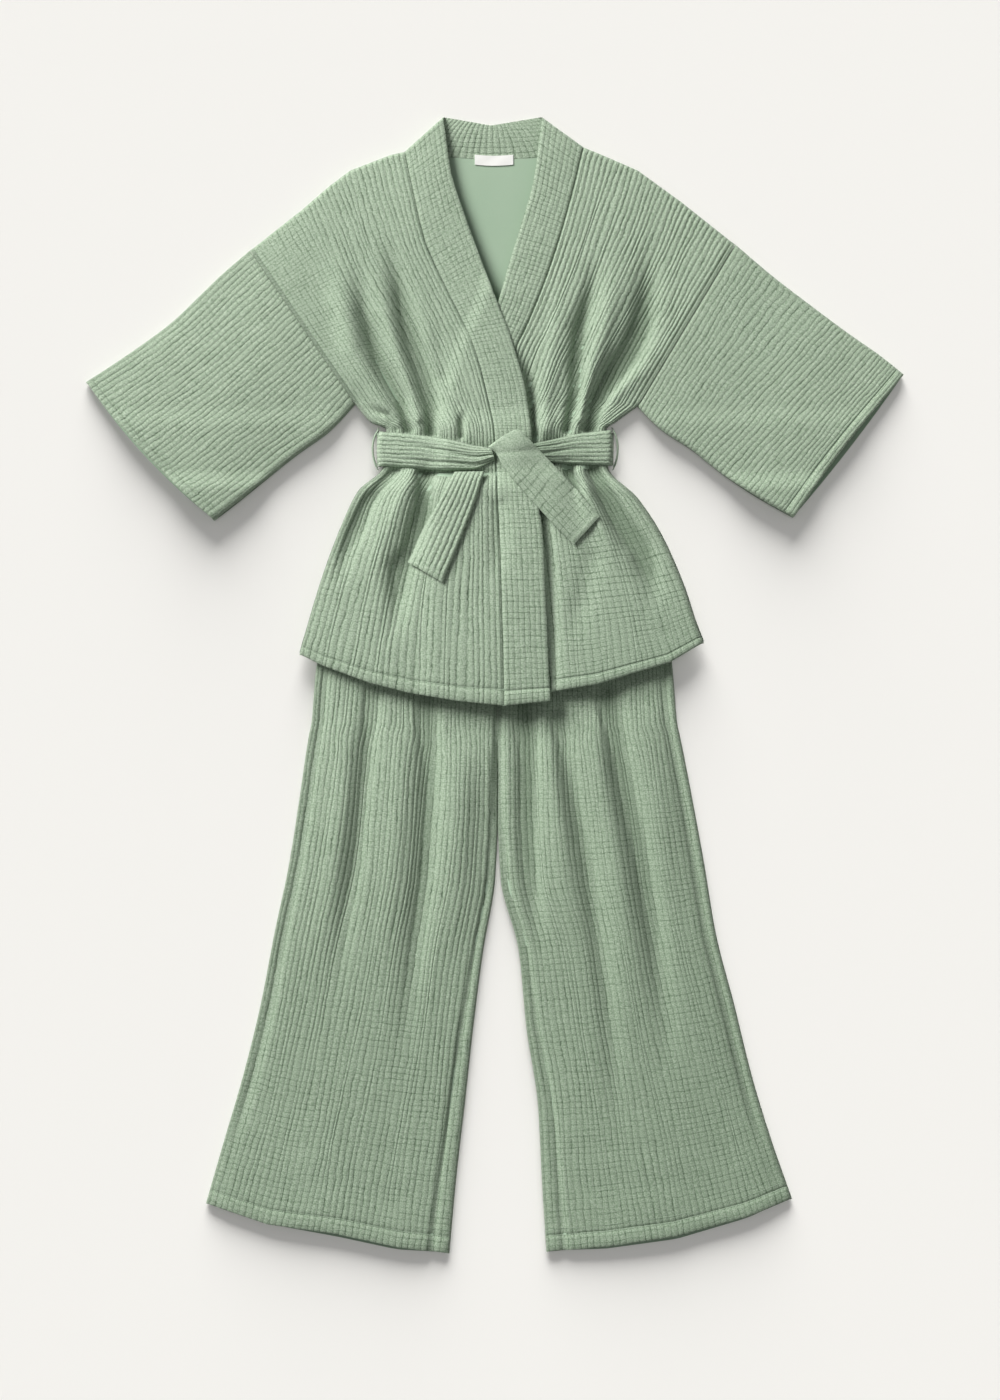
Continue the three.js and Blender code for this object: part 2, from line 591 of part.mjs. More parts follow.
// Jacket back, laid out as two halves that share a middle line
{
  const middle = byRow(LEFT_ROWS.map((r, i) => (i === 0 ? BACK_HEM[4] : i === LAST ? NECK_SEAM[2] : [2, r.seam[1]])));
  const halves = {
    left: [...SHOULDER.left, ...NECK_SEAM.slice(1, 3)],
    right: [...NECK_SEAM.slice(2, 4), ...[...SHOULDER.right].reverse()],
  };
  const leftHalf = outline({
    west: side.left, east: middle, south: byLength(BACK_HEM.slice(0, 5)), north: byLength(halves.left),
  });
  const rightHalf = outline({
    west: middle, east: side.right, south: byLength(BACK_HEM.slice(4)), north: byLength(halves.right),
  });
  const plan = (u, v) => (u < 0.5 ? leftHalf(2 * u, v) : rightHalf(2 * u - 1, v));
  const [l, r] = [stops(halves.left).map(t => t / 2), stops(halves.right).map(t => 0.5 + t / 2)];
  // the shoulders are turned up, the neck between them is cut flat
  const [neckFrom, neckTo, near] = [l[5], r[2], 0.012];
  const shoulderTurned = u => Math.max(ease(neckFrom + near, neckFrom - near, u),
    ease(neckTo - near, neckTo + near, u));
  const place = placer({ plan, turn: JACKET_TURN, west: sideTurned, east: sideTurned, north: shoulderTurned });
  const us = [...before, l[0], l[2], l[4], neckFrom - near, neckFrom, neckFrom + near, l[6], 0.5, r[1],
    neckTo - near, neckTo, neckTo + near, r[3], r[5], 1, ...after];
  const vs = rowStops.filter((_, i) => i !== 10 && i !== 12 && i !== 14);
  panel('jacket_back', 'inner', us, us, [...vs, ...after],
    lowerFaces(place, (x, y) => backLevel(y), backTurn, CLOTH), LIGHT_GREEN);
}

// Sleeves: one piece each, folded along the upper edge and seamed under the arm
function sleeve(name, rows, bow, alongArm) {
  const lower = byRow(rows.map(r => r.lower));
  const upper = byRow(rows.map(r => r.upper));
  const ends = [lower(1), upper(1)];
  const far = Math.hypot(ends[1][0] - ends[0][0], ends[1][1] - ends[0][1]);
  const sign = ends[0][0] < 0 ? 1 : -1;
  const outward = [-(ends[1][1] - ends[0][1]) / far * sign, (ends[1][0] - ends[0][0]) / far * sign];
  const cuff = u => [0, 1].map(k => mix(ends[0][k], ends[1][k], u) + outward[k] * bow * 4 * u * (1 - u));
  const plan = outline({
    west: lower, east: upper,
    south: u => [mix(lower(0)[0], upper(0)[0], u), mix(lower(0)[1], upper(0)[1], u)], north: cuff,
  });
  const gapped = (u, v) => plan(u, mix(0.0012, 1, v));
  const place = placer({ plan: gapped, turn: JACKET_TURN, west: always, east: always });
  const rib = (u, v) => zigzag(SLEEVE_RIBS, alongArm ? u : v) * ease(0, 0.02, v);
  const front = upperFaces(place, jacketTop, level(JACKET_TURN), CLOTH, rib);
  const back = lowerFaces(place, level(0), level(JACKET_TURN), CLOTH);
  // past the upper edge, the same sheet runs back underneath
  const under = (face, s) => (s < 3 ? [face, 2 - (s - 2)] : s < 4 ? [face, 1 - (s - 3)] : [face, -(s - 4)]);
  const around = (frontFace, backFace) => (s, v) => {
    if (s <= 2) return frontFace(s, v);
    const [face, u] = under(backFace, s);
    return face(u, v);
  };
  const outer = around(front.outer, back.outer);
  const inner = around(front.inner, back.inner);
  const across = alongArm ? ribbed(SLEEVE_RIBS) : steps(0, 1, 8);
  const down = alongArm ? steps(0, 1, 6) : ribbed(SLEEVE_RIBS);
  const underside = [2.5, ...steps(3, 4, 5), 4.5, 5];
  const coarse = alongArm ? ribbed(SLEEVE_RIBS, 4) : steps(0, 1, 8);
  const wall = new Wall();
  const fine = wall.skin([...before, ...across, ...after], down, outer, true);
  const plain = wall.skin(underside, steps(0, 1, 6), outer, true);
  wall.zip(fine.east, plain.west);
  const lining = wall.skin([...before, ...coarse, ...after, ...underside], steps(0, 1, 6), inner, false);
  wall.rims({
    south: joined(fine.south, plain.south), north: joined(fine.north, plain.north),
    west: fine.west, east: plain.east,
  }, lining);
  set.add(wall.mesh(name, GREEN));
}
sleeve('sleeve_left', LEFT_SLEEVE, CUFF_BOW.left, true);
sleeve('sleeve_right', RIGHT_SLEEVE, CUFF_BOW.right, false);

// Trousers: a front and a back for each leg
const LEG_LAST = LEGS.length - 1;
const seatTurned = v => ease(CROTCH_ROW / LEG_LAST, (CROTCH_ROW + 1) / LEG_LAST, v);
function leg(name, which, isFront) {
  const [out, inn] = which === 'left' ? ['out', 'in'] : ['out2', 'in2'];
  const hems = isFront ? LEG_HEM : LEG_HEM_BACK;
  const plan = outline({
    west: byRow(LEGS.map(r => r[out])), east: byRow(LEGS.map(r => r[inn])),
    south: byLength([LEGS[0][out], LEGS[0][inn]]), north: byLength(hems[which]),
  });
  const place = placer({ plan, turn: TROUSER_TURN, west: always, east: seatTurned });
  const rows = LEGS.map((_, i) => i / LEG_LAST);
  if (!isFront) {
    const us = [...before, ...steps(0, 1, 4), ...after];
    panel(name, 'inner', us, us, rows, lowerFaces(place, level(0), level(TROUSER_TURN), CLOTH));
    return;
  }
  const rib = (u, v, x, y) => zigzag(LEG_RIBS, u) * ribFree(x, y);
  const faces = upperFaces(place, trouserTop, level(TROUSER_TURN), CLOTH, rib);
  const coarse = [...before, ...ribbed(LEG_RIBS, 5), ...after];
  const hidden = 3;   // rows under the jacket, which are plain
  const wall = new Wall();
  const plain = wall.skin(coarse, rows.slice(0, hidden), faces.outer, true);
  const shown = wall.skin([...before, ...ribbed(LEG_RIBS), ...after], rows.slice(hidden), faces.outer, true);
  wall.zip({ ids: [...plain.north.ids].reverse(), at: plain.north.at.map(t => -t).reverse() },
    { ids: [...shown.south.ids].reverse(), at: shown.south.at.map(t => -t).reverse() });
  const lining = wall.skin(coarse, rows, faces.inner, false);
  wall.rims({
    south: plain.south, north: shown.north,
    west: joined(plain.west, shown.west), east: joined(plain.east, shown.east),
  }, lining);
  set.add(wall.mesh(name, GREEN));
}
leg('trousers_front_left', 'left', true);
leg('trousers_front_right', 'right', true);
leg('trousers_back_left', 'left', false);
leg('trousers_back_right', 'right', false);

// Waistband: one flat ring
{
  const height = 2 * TROUSER_TURN + SEAM + PRESSED_CROWN;
  const ring = (x0, x1, y, wall) => {
    const points = [];
    const r = TROUSER_TURN - wall;
    const straight = steps(0, 1, 6).slice(1, -1);
    for (const t of steps(0, 1, 6)) points.push([x1 - TROUSER_TURN + r * Math.sin(t * Math.PI), 0, t]);
    const right = points.map(([x, , t]) => [x, y, height / 2 - Math.cos(t * Math.PI) * (height / 2 - wall)]);
    const left = right.map(([x, , z]) => [x0 + x1 - x, y, height - z]);
    const top = straight.map(t => [mix(right[6][0], left[0][0], t), y, height - wall]);
    const bottom = straight.map(t => [mix(left[6][0], right[0][0], t), y, wall]);
    return [...right, ...top, ...left, ...bottom];
  };
  const wall = new Wall();
  const loops = [];
  for (const [y, thick] of [[WAIST_LOW + SEAM, 0], [WAIST_TOP, 0], [WAIST_TOP, CLOTH], [WAIST_LOW + SEAM, CLOTH]]) {
    const x0 = mix(legOutLeft(WAIST_LOW), -161, (y - WAIST_LOW) / (WAIST_TOP - WAIST_LOW));
    const x1 = mix(legOutRight(WAIST_LOW), 171, (y - WAIST_LOW) / (WAIST_TOP - WAIST_LOW));
    loops.push(ring(x0, x1, y, thick).map(p => wall.points.push(p) - 1));
  }
  loops.forEach((loop, k) => {
    const next = loops[(k + 1) % loops.length];
    loop.forEach((id, i) => {
      const j = (i + 1) % loop.length;
      wall.faces.push([id, loop[j], next[j]], [id, next[j], next[i]]);
    });
  });
  set.add(wall.mesh('waistband', GREEN));
}

// Sash: two front stretches that turn round the sides, and the hidden stretch behind
function stretch(name, rows, end, creases) {
  const high = byRow(rows.map(r => r.high));
  const low = byRow(rows.map(r => r.low));
  const bulge = v => end - mix(low(0)[0], high(0)[0], v);
  const plan = (u, v) => {
    const [a, b] = [low(u), high(u)];
    const x = mix(a[0], b[0], v) + bulge(v) * Math.exp(-u * 30) * Math.sin(Math.PI * clamp(v * 0.9 + 0.05)) ** 0.5;
    return [x, mix(a[1], b[1], v)];
  };
  const place = placer({ plan, turn: SASH_TURN, west: always });
  // the rim of the turned end stands at half the height of the whole wrap
  const top = (x, y) => coverTop(x, y) + SASH_GAP + SASH_CLOTH;
  const flat = upperFaces(place, top, level(SASH_TURN), SASH_CLOTH, null);
  const crease = (u, v) => (u < 0 ? 0 : creases * ease(0, 1, u) * Math.cos(v * Math.PI * 4));
  const lifted = face => (u, v) => {
    const [x, y, z] = face(u, v);
    return [x, y, z + crease(u, v) + creases * ease(0, 1, u)];
  };
  const us = [...before, ...steps(0, 1, 12)];
  panel(name, 'outer', us, us, steps(0, 1, 6), { outer: lifted(flat.outer), inner: lifted(flat.inner) });
}
stretch('sash_left', SASH_LEFT, SASH_END.left, 0.8);
stretch('sash_right', SASH_RIGHT, SASH_END.right, 0.35);
{
  const [l, r] = [SASH_END.left, SASH_END.right];
  const plan = (u, v) => [mix(l, r, u), mix(BELT_LOW + 2, BELT_HIGH - 3, v)];
  const place = placer({ plan, turn: SASH_TURN, west: always, east: always });
  const us = [...before, ...steps(0, 1, 4), ...after];
  panel('sash_back', 'inner', us, us, [0, 1], lowerFaces(place, level(0), level(SASH_TURN), SASH_CLOTH));
}

// The knot's wrap runs on into the right end of the sash; the left end comes out below.
function tail(name, rows, raise, turnsUnder) {
  const high = byRow(rows.map(r => r.high));
  const low = byRow(rows.map(r => r.low));
  const plan = (u, v) => {
    const [a, b] = [low(1 - v), high(1 - v)];
    return [mix(a[0], b[0], u), mix(a[1], b[1], u)];
  };
  const place = placer({ plan, turn: KNOT_TURN, north: turnsUnder ? always : null });
  const top = (x, y) => coverTop(x, y) + TAIL_GAP + SASH_CLOTH + raise(x, y);
  const faces = upperFaces(place, top, level(KNOT_TURN), SASH_CLOTH, null);
  const vs = [...steps(0, 1, 12), ...(turnsUnder ? after : [])];
  panel(name, 'outer', steps(0, 1, 5), steps(0, 1, 5), vs, faces);
}
tail('sash_knot_end', KNOT_ROWS, (x, y) => {
  const near = Math.hypot(x - 24, y - 303) / 30;
  return KNOT_RISE * ease(262, 279, y) + KNOT_ARCH * Math.exp(-near * near);
}, true);
tail('sash_left_end', TAIL_ROWS, () => 0, false);

// Label over the back neck seam
{
  const [cx, cy] = LABEL.middle;
  const place = lift => (u, v) => {
    const x = mix(-LABEL.wide / 2, LABEL.wide / 2, u);
    const y = mix(-LABEL.high / 2, LABEL.high / 2, v) - LABEL.bow * (1 - (2 * u - 1) ** 2);
    return [cx + x, cy + y, CLOTH + SEAM + lift];
  };
  const us = steps(0, 1, 6);
  panel('label', 'outer', us, us, [0, 1], { outer: place(LABEL_CLOTH), inner: place(0) }, 0xf2f1ec);
}

// Thread loops that hold the sash at the side seams
function threadLoop(name, which, end) {
  const sign = which === 'left' ? -1 : 1;
  const wall = new Wall();
  const rings = steps(-1, 1, LOOP.steps).map(t => {
    const lean = Math.cos(t * Math.PI / 2);
    const y = (BELT_LOW + BELT_HIGH) / 2 + t * 27.5;
    const x = mix(sideX[which](y) + sign * 1.7, end + sign * LOOP.reach, lean ** 0.4);
    const z = mix(SASH_LIFT + BELT_TURN, SASH_TURN, lean);
    return steps(0, 1, 6).slice(0, -1).map(s => {
      const a = s * 2 * Math.PI;
      return wall.points.push([x + LOOP.thread * Math.cos(a) * Math.max(0.5, lean), y
        + LOOP.thread * Math.cos(a) * t * 0.8, z + LOOP.thread * Math.sin(a)]) - 1;
    });
  });
  for (let i = 0; i + 1 < rings.length; i++) {
    for (let j = 0; j < 6; j++) {
      const k = (j + 1) % 6;
      wall.faces.push([rings[i][j], rings[i][k], rings[i + 1][k]], [rings[i][j], rings[i + 1][k], rings[i + 1][j]]);
    }
  }
  const [first, last] = [rings[0], rings[rings.length - 1]];
  for (let j = 1; j < 5; j++) {
    wall.faces.push([first[0], first[j + 1], first[j]], [last[0], last[j], last[j + 1]]);
  }
  set.add(wall.mesh(name, GREEN));
}
threadLoop('belt_loop_left', 'left', SASH_END.left);
threadLoop('belt_loop_right', 'right', SASH_END.right);

// The middle of the whole part stands over the origin.
const box = new THREE.Box3().setFromObject(set);
const middle = box.getCenter(new THREE.Vector3());
for (const mesh of set.children) mesh.geometry.translate(-middle.x, -middle.y, -box.min.z);

export default set;
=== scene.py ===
"""The looks of a kimono pajama set laid flat: crinkled cloth, sewing, floor and light."""

import bpy
import numpy as np
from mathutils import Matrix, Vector


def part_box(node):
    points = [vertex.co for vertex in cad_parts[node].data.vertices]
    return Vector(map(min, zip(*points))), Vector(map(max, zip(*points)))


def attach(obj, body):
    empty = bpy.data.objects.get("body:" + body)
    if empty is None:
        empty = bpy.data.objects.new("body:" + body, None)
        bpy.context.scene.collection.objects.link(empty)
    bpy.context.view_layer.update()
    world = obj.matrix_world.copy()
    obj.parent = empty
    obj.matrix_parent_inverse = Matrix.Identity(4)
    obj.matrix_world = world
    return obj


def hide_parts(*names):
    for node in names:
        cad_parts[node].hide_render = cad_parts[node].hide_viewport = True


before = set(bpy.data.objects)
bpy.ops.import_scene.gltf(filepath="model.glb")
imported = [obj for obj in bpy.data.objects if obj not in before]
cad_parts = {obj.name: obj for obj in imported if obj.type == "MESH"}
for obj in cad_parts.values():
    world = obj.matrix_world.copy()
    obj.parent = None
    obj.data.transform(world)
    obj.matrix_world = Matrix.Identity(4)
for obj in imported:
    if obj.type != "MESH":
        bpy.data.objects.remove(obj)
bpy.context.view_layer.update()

bl_info = {
    "name": "Kimono Pajama Set",
    "version": (1, 0, 0),
    "blender": (4, 5, 0),
    "location": "3D Viewport > Sidebar > Pajamas",
    "description": "Builds a kimono pajama set laid flat, with its crinkled cloth and sewing",
    "category": "Object",
}

# Sizes are in millimetres, on the layout's own axes: +x right, +y to the neck, +z up.
MM = 0.001
PIXEL = 1.3                    # one pixel of the picture
PICTURE = (1000, 1400)
PICTURE_ORIGIN = (494, 685)    # the layout's origin in the picture

CLOTH = 1.9
BAND_CLOTH = 2.4
SASH_CLOTH = 2.2
JACKET_TURN = 5
TROUSER_TURN = 4
SASH_TURN = 7.9
KNOT_TURN = 4
SIDE_SEAM = 0.5
SEAM = 0.3
JACKET_CROWN = 8
BELT_CROWN = 4.5
LEG_CROWN = 6
PRESSED_CROWN = 1
CROWN_REACH = 60
BELT_REACH = 22
SASH_LIFT = 2.9
TROUSER_LIFT = 9.9
LAP = 3.7
BELT_LOW, BELT_HIGH = 283, 330
BELT_ENDS = (-150, 160)
BELT_TURN = 2.6                # height of the back's turned sides under the sash
BELT_SPREAD = 30
RAMP_BACK = 362                # the jacket back is on the floor above this
RAMP_TOP, RAMP_LOW = 279, 251  # and comes down from the trousers to the sash between these
WAIST_TOP, WAIST_LOW = 240, 207
WAIST_ENDS = {"out": -161, "out2": 171}           # x of the waistband's sides at its top
HEM_DEPTH = 15.6               # from an edge to its topstitching
SIDE_LINE = 11                 # trouser side seam, in from the turned edge
INNER_LINE = 22                # trouser inner seam at the hem, the same
SEAT_X = 5                     # the trousers' centre seam
SIDE_GROOVE = 3.2              # depth of the trousers' side, centre and inner seams
SEAT_GROOVE = 5.5
INNER_GROOVE = 2.2
PUFF = (1.5, 3.5)              # rise of the jacket just below and above the sash
JACKET_LEAST = 6               # folds go hardly deeper than this height
TROUSER_LEAST = 5
DARKEST = {"jacket": 23, "lap": 18, "leg": 13}    # depth of a fold whose bottom gets the full painted shade


def table(columns, rows):
    """Rows with named columns. A short row leaves out the last ones."""
    return [dict(zip(columns.split(), row)) for row in rows]


# Jacket rows from the hem up: neckband seam, free edge of the neckband, side seam
LEFT_ROWS = table("seam edge side", [
    ((13, -27), (73, -21), (-252, 39)),
    ((12, 39), (70, 39), (-242, 74)),
    ((10, 110), (67, 110), (-225, 131)),
    ((8, 176), (64, 176), (-199, 202)),
    ((5, 236), (58, 236), (-176, 250)),
    ((3, 282), (53, 282), (-144, 283)),
    ((0, 331), (48, 330), (-140, 330)),
    ((-6, 362), (44, 363), (-160, 341)),
    ((-13, 393), (38, 396), (-180, 364)),
    ((-26, 437), (24, 444)),
    ((-45, 480), (5, 494)),
    ((-66, 522), (-16, 549)),
    ((-90, 578), (-38, 610)),
    ((-104, 636), (-55, 665)),
    ((-116, 692), (-66, 737)),
])
RIGHT_ROWS = table("seam edge side", [
    ((-9, -15), (-69, -14), (272, 54)),
    ((-6, 39), (-66, 39), (262, 80)),
    ((-4, 110), (-62, 110), (247, 126)),
    ((-1, 176), (-58, 176), (217, 194)),
    ((1, 236), (-53, 236), (187, 240)),
    ((3, 282), (-48, 282), (148, 283)),
    ((5, 331), (-43, 330), (146, 330)),
    ((10, 362), (-39, 363), (161, 343)),
    ((16, 392), (-34, 396), (186, 361)),
    ((27, 432), (-20, 441)),
    ((46, 474), (3, 490)),
    ((67, 526), (18, 541)),
    ((85, 580), (35, 597)),
    ((101, 636), (52, 660)),
    ((116, 698), (62, 737)),
])
UNDERARM_ROW = 8
ROWS = {"left": LEFT_ROWS, "right": RIGHT_ROWS}
SIDES = ("left", "right")
TIP = {"left": (-317, 564), "right": (313, 572)}
SHOULDER = {
    "left": [TIP["left"], (-252, 615), (-216, 646), (-188, 667), (-134, 688), (-116, 692)],
    "right": [TIP["right"], (246, 625), (217, 646), (188, 667), (140, 688), (116, 698)],
}
HEM = {
    "left": [(-252, 39), (-226, 26), (-163, 3), (-112, -10), (-46, -21), (13, -27)],
    "right": [(272, 54), (231, 30), (135, 1), (74, -9), (-9, -15)],
}
BACK_HEM = [(-252, 42), (-163, 7), (-112, -6), (-46, -16), (13, -18), (74, -5), (135, 5),
            (231, 34), (272, 57)]
NECK_SEAM = [(-116, 692), (-61, 686), (-4, 682), (55, 685), (116, 698)]
NECK_TOP = [(-66, 737), (-4, 727), (62, 737)]

# Sleeve rows from the armhole to the cuff: folded upper edge, seamed lower edge
SLEEVE = {
    "left": table("upper lower", [
        (TIP["left"], (-180, 364)),
        ((-354, 532), (-212, 330)),
        ((-419, 470), (-256, 298)),
        ((-462, 438), (-296, 266)),
        ((-502, 411), (-333, 236)),
        ((-530, 393), (-363, 213)),
    ]),
    "right": table("upper lower", [
        (TIP["right"], (186, 361)),
        ((360, 532), (218, 330)),
        ((420, 486), (256, 305)),
        ((462, 455), (298, 272)),
        ((502, 427), (345, 241)),
        ((532, 403), (388, 217)),
    ]),
}
CUFF_BOW = {"left": 9, "right": 3}
CUFF_SHORT = {"left": 4, "right": 8}

# Trouser rows from the waistband seam to the hem
LEGS = table("out in in2 out2", [
    ((-176, 207), (5, 207), (5, 207), (190, 207)),
    ((-199, 150), (5, 150), (5, 150), (209, 150)),
    ((-216, 90), (5, 90), (5, 90), (224, 90)),
    ((-231, 20), (5, 20), (5, 20), (232, 20)),
    ((-237, -50), (5, -52), (5, -52), (238, -50)),
    ((-240, -64), (5.2, -66), (4.8, -66), (241, -64)),
    ((-244, -88), (5.4, -94), (4.6, -94), (246, -88)),
    ((-253, -150), (5.3, -160), (4.7, -160), (258, -150)),
    ((-266, -232), (1.6, -250), (8.4, -250), (273, -232)),
    ((-285, -322), (-14, -345), (32, -345), (288, -322)),
    ((-303, -415), (-27, -445), (42, -445), (312, -415)),
    ((-326, -508), (-38, -545), (57, -545), (335, -508)),
    ((-350, -590), (-49, -640), (62, -640), (360, -590)),
    ((-374, -673), (-58, -738), (68, -736), (387, -667)),
])
CROTCH_ROW = 5
LEG_HEM = {
    "left": [(-374, -673), (-296, -699), (-203, -712), (-124, -729), (-58, -738)],
    "right": [(387, -667), (332, -689), (237, -715), (143, -729), (68, -736)],
}
LEG_HEM_BACK = {
    "left": [(-374, -673), (-296, -700), (-203, -717), (-124, -734), (-58, -738)],
    "right": [(387, -667), (332, -692), (237, -720), (143, -733), (68, -736)],
}

# Folds as troughs along a path. A negative depth is a ridge.
JACKET_FOLDS = table("path depth wide", [
    ([(-109, 331), (-120, 370), (-146, 416), (-168, 481), (-181, 550)], 15, 8),
    ([(-81, 325), (-80, 357), (-88, 396), (-105, 448), (-122, 513), (-145, 592)], 19, 9),
    ([(-98, 344), (-113, 396), (-138, 474), (-163, 562)], -5, 7),
    ([(-130, 338), (-158, 385), (-182, 430), (-197, 500), (-207, 582)], -9, 13),
    ([(-42, 322), (-42, 357)], 8, 6),
    ([(-64, 400), (-77, 474)], 3, 8),
    ([(-127, 331), (-138, 348), (-156, 357), (-168, 362)], 10, 5),
    ([(95, 331), (108, 383), (108, 416), (112, 461), (125, 507), (138, 570)], 15, 8),
    ([(125, 331), (131, 364), (151, 396), (177, 429), (192, 468), (199, 520), (196, 582)],
     19, 12),
    ([(68, 331), (68, 377), (80, 455), (99, 540)], -5, 11),
    ([(112, 345), (120, 383), (128, 409), (146, 474), (166, 562)], -7, 10),
    ([(155, 375), (190, 410), (220, 455)], -4, 11),
    ([(-128, 282), (-148, 258), (-168, 232), (-194, 176), (-207, 117)], 16, 10),
    ([(-88, 282), (-90, 228), (-103, 176), (-120, 150), (-126, 85), (-135, 40)], 20, 11),
    ([(-106, 275), (-122, 235), (-142, 190), (-165, 110)], -5, 11),
    ([(-95, 277), (-55, 275), (-18, 272), (25, 275)], 10, 9),
    ([(8, 230), (8, 200), (1, 117)], 4, 10),
    ([(95, 286), (100, 270), (112, 235)], 17, 9),
    ([(127, 283), (138, 260), (162, 215), (190, 176), (207, 124), (212, 80)], 18, 12),
    ([(112, 275), (126, 235), (146, 190), (164, 130)], -6, 10),
    ([(155, 275), (185, 230), (218, 170)], -4, 12),
    ([(125, 160), (115, 110), (99, 46)], 3.5, 12),
])
RIGHT_FOLDS = table("path depth wide", [     # beside the left front's free edge
    ([(53, 318), (49, 370), (43, 409), (30, 444)], 12, 7),
    ([(64, 236), (71, 176), (75, 110), (78, 39), (80, -12), (80, -80)], 6, 6),
])
LEG_FOLDS = table("path depth wide", [
    ([(-157, -10), (-165, -100), (-177, -215), (-202, -376), (-213, -441)], 7, 10),
    ([(-88, -10), (-83, -117), (-87, -221), (-105, -376), (-122, -524)], 10, 12),
    ([(-42, -20), (-42, -137), (-50, -280), (-66, -400)], -6, 18),
    ([(-118, -20), (-122, -137), (-134, -280), (-158, -420)], -4, 13),
    ([(-190, -20), (-196, -137), (-214, -280), (-240, -420)], -4, 12),
    ([(40, -20), (45, -100), (44, -215), (52, -290), (66, -400)], 13, 11),
    ([(80, -40), (103, -140), (122, -230), (143, -376), (155, -481), (161, -622)], 9, 11),
    ([(147, -10), (164, -100), (187, -198), (208, -319), (224, -441), (223, -541)], 12, 12),
    ([(122, -40), (135, -98), (155, -215), (178, -358), (190, -470)], -5, 12),
    ([(64, -30), (72, -72), (88, -215), (110, -370)], -4, 11),
    ([(190, -30), (214, -150), (240, -300)], -3, 14),
])

# Sash: the front stretches from the side to the knot, and the loose ends
SASH_ROWS = {
    "left": table("high low", [
        ((-146, 329), (-149, 283)),
        ((-107, 325), (-118, 281)),
        ((-70, 320), (-70, 277.5)),
        ((-31, 311), (-31, 278)),
        ((-3, 306), (1, 290)),
    ]),
    "right": table("high low", [
        ((150, 331), (152, 284)),
        ((112, 326), (112, 285)),
        ((73, 317), (80, 287)),
        ((50, 312), (56, 290)),
    ]),
}
SASH_END = {"left": -152, "right": 155}
SASH_CREASES = {               # where each long crease starts and ends across the sash
    "left": table("from to depth", [(0.74, 0.45, 2.6), (0.3, 0.14, 2.6)]),
    "right": table("from to depth", [(0.82, 0.72, 1.2), (0.55, 0.42, 1.9), (0.2, 0.16, 1.2)]),
}
KNOT_ROWS = table("high low", [
    ((10, 320), (-8, 307)),
    ((30, 329), (3, 298)),
    ((44, 318), (9, 286)),
    ((57, 305), (22, 268)),
    ((109, 250), (73, 211)),
    ((136, 217), (103, 181)),
])
TAIL_ROWS = table("high low", [
    ((-51, 275.5), (-12, 276)),
    ((-72, 236), (-22, 242)),
    ((-93, 200), (-42, 188)),
    ((-112, 159), (-66, 132)),
])
SASH_GAP = 1.0
SASH_WIDE = 46
SASH_RIBS = 8
SASH_STOPS = (0, 0.15, 0.35, 0.5, 0.65, 0.85)     # mesh lines over one rib
SASH_PAINTED_SHADE = {"left": 0, "right": 0.8}             # painted shade: the sunk stretch beside the knot, turned from the light, is painted darker
TAIL_GAP = 3                   # under the loose ends
SPAN = 9                       # they bridge folds narrower than twice this
SPAN_SOFT = 1.5
KNOT_RISE = 4.2
KNOT_ARCH = 8
KNOT_MIDDLE = (27, 300)
LABEL = {"wide": 50, "high": 13, "middle": (0, 682.5), "bow": 1.5, "thick": 0.8}


# Plain helpers

def mix(a, b, t):
    return a + (b - a) * t


def ease(low, high, t):
    s = np.clip((t - low) / (high - low), 0, 1)
    return s * s * (3 - 2 * s)


def bell(far, wide):
    return np.exp(-((far / wide) ** 2))


def grown(far, reach):
    """From 0 at an edge to nearly 1 a few reaches away."""
    return 1 - np.exp(-far / reach)


def smooth(values):
    """A curve through values set at 0, 1, 2 and so on, which never overshoots."""
    values = np.asarray(values, float)
    rises = np.diff(values)
    inner = [0 if a * b <= 0 else 2 * a * b / (a + b) for a, b in zip(rises[:-1], rises[1:])]
    slopes = np.array([rises[0], *inner, rises[-1]])

    def at(t):
        i = np.clip(np.floor(t).astype(int), 0, len(rises) - 1)
        s = t - i
        return ((2 * s**3 - 3 * s**2 + 1) * values[i] + (s**3 - 2 * s**2 + s) * slopes[i]
                + (3 * s**2 - 2 * s**3) * values[i + 1] + (s**3 - s**2) * slopes[i + 1])
    return at


def by_row(points):
    """A curve through points, followed by row number from 0 to 1."""
    x, y = (smooth([p[k] for p in points]) for k in (0, 1))
    last = len(points) - 1
    return lambda t: np.stack([x(np.asarray(t, float) * last), y(np.asarray(t, float) * last)], -1)


def lengths(points):
    steps = np.hypot(*np.diff(np.asarray(points, float), axis=0).T)
    far = np.concatenate([[0], np.cumsum(steps)])
    return far / far[-1]


def by_length(points):
    """A line through points, followed by its length from 0 to 1."""
    far = lengths(points)
    points = np.asarray(points, float)
    return lambda t: np.stack([np.interp(t, far, points[:, 0]), np.interp(t, far, points[:, 1])], -1)


def outline(west, east, south, north):
    """The flat outline between four curves that meet at their ends."""
    def plan(u, v):
        w, e, s, n = west(v), east(v), south(u), north(u)
        sw, se, nw, ne = west(0.0), east(0.0), west(1.0), east(1.0)
        u, v = np.asarray(u)[..., None], np.asarray(v)[..., None]
        return mix(w, e, u) + (s - mix(sw, se, u)) * (1 - v) ** 3 + (n - mix(nw, ne, u)) * v**3
    return plan


def paired(u, v):
    return np.broadcast_arrays(np.asarray(u, float), np.asarray(v, float))


def zero(x, y):
    """The floor, or no rise at all."""
    return 0 * x


def distance(x, y, points):
    """How far places lie from a chain of points."""
    best = np.full(np.shape(x), np.inf)
    for (ax, ay), (bx, by) in zip(points[:-1], points[1:]):
        dx, dy = bx - ax, by - ay
        t = np.clip(((x - ax) * dx + (y - ay) * dy) / (dx * dx + dy * dy), 0, 1)
        best = np.minimum(best, np.hypot(x - ax - dx * t, y - ay - dy * t))
    return best


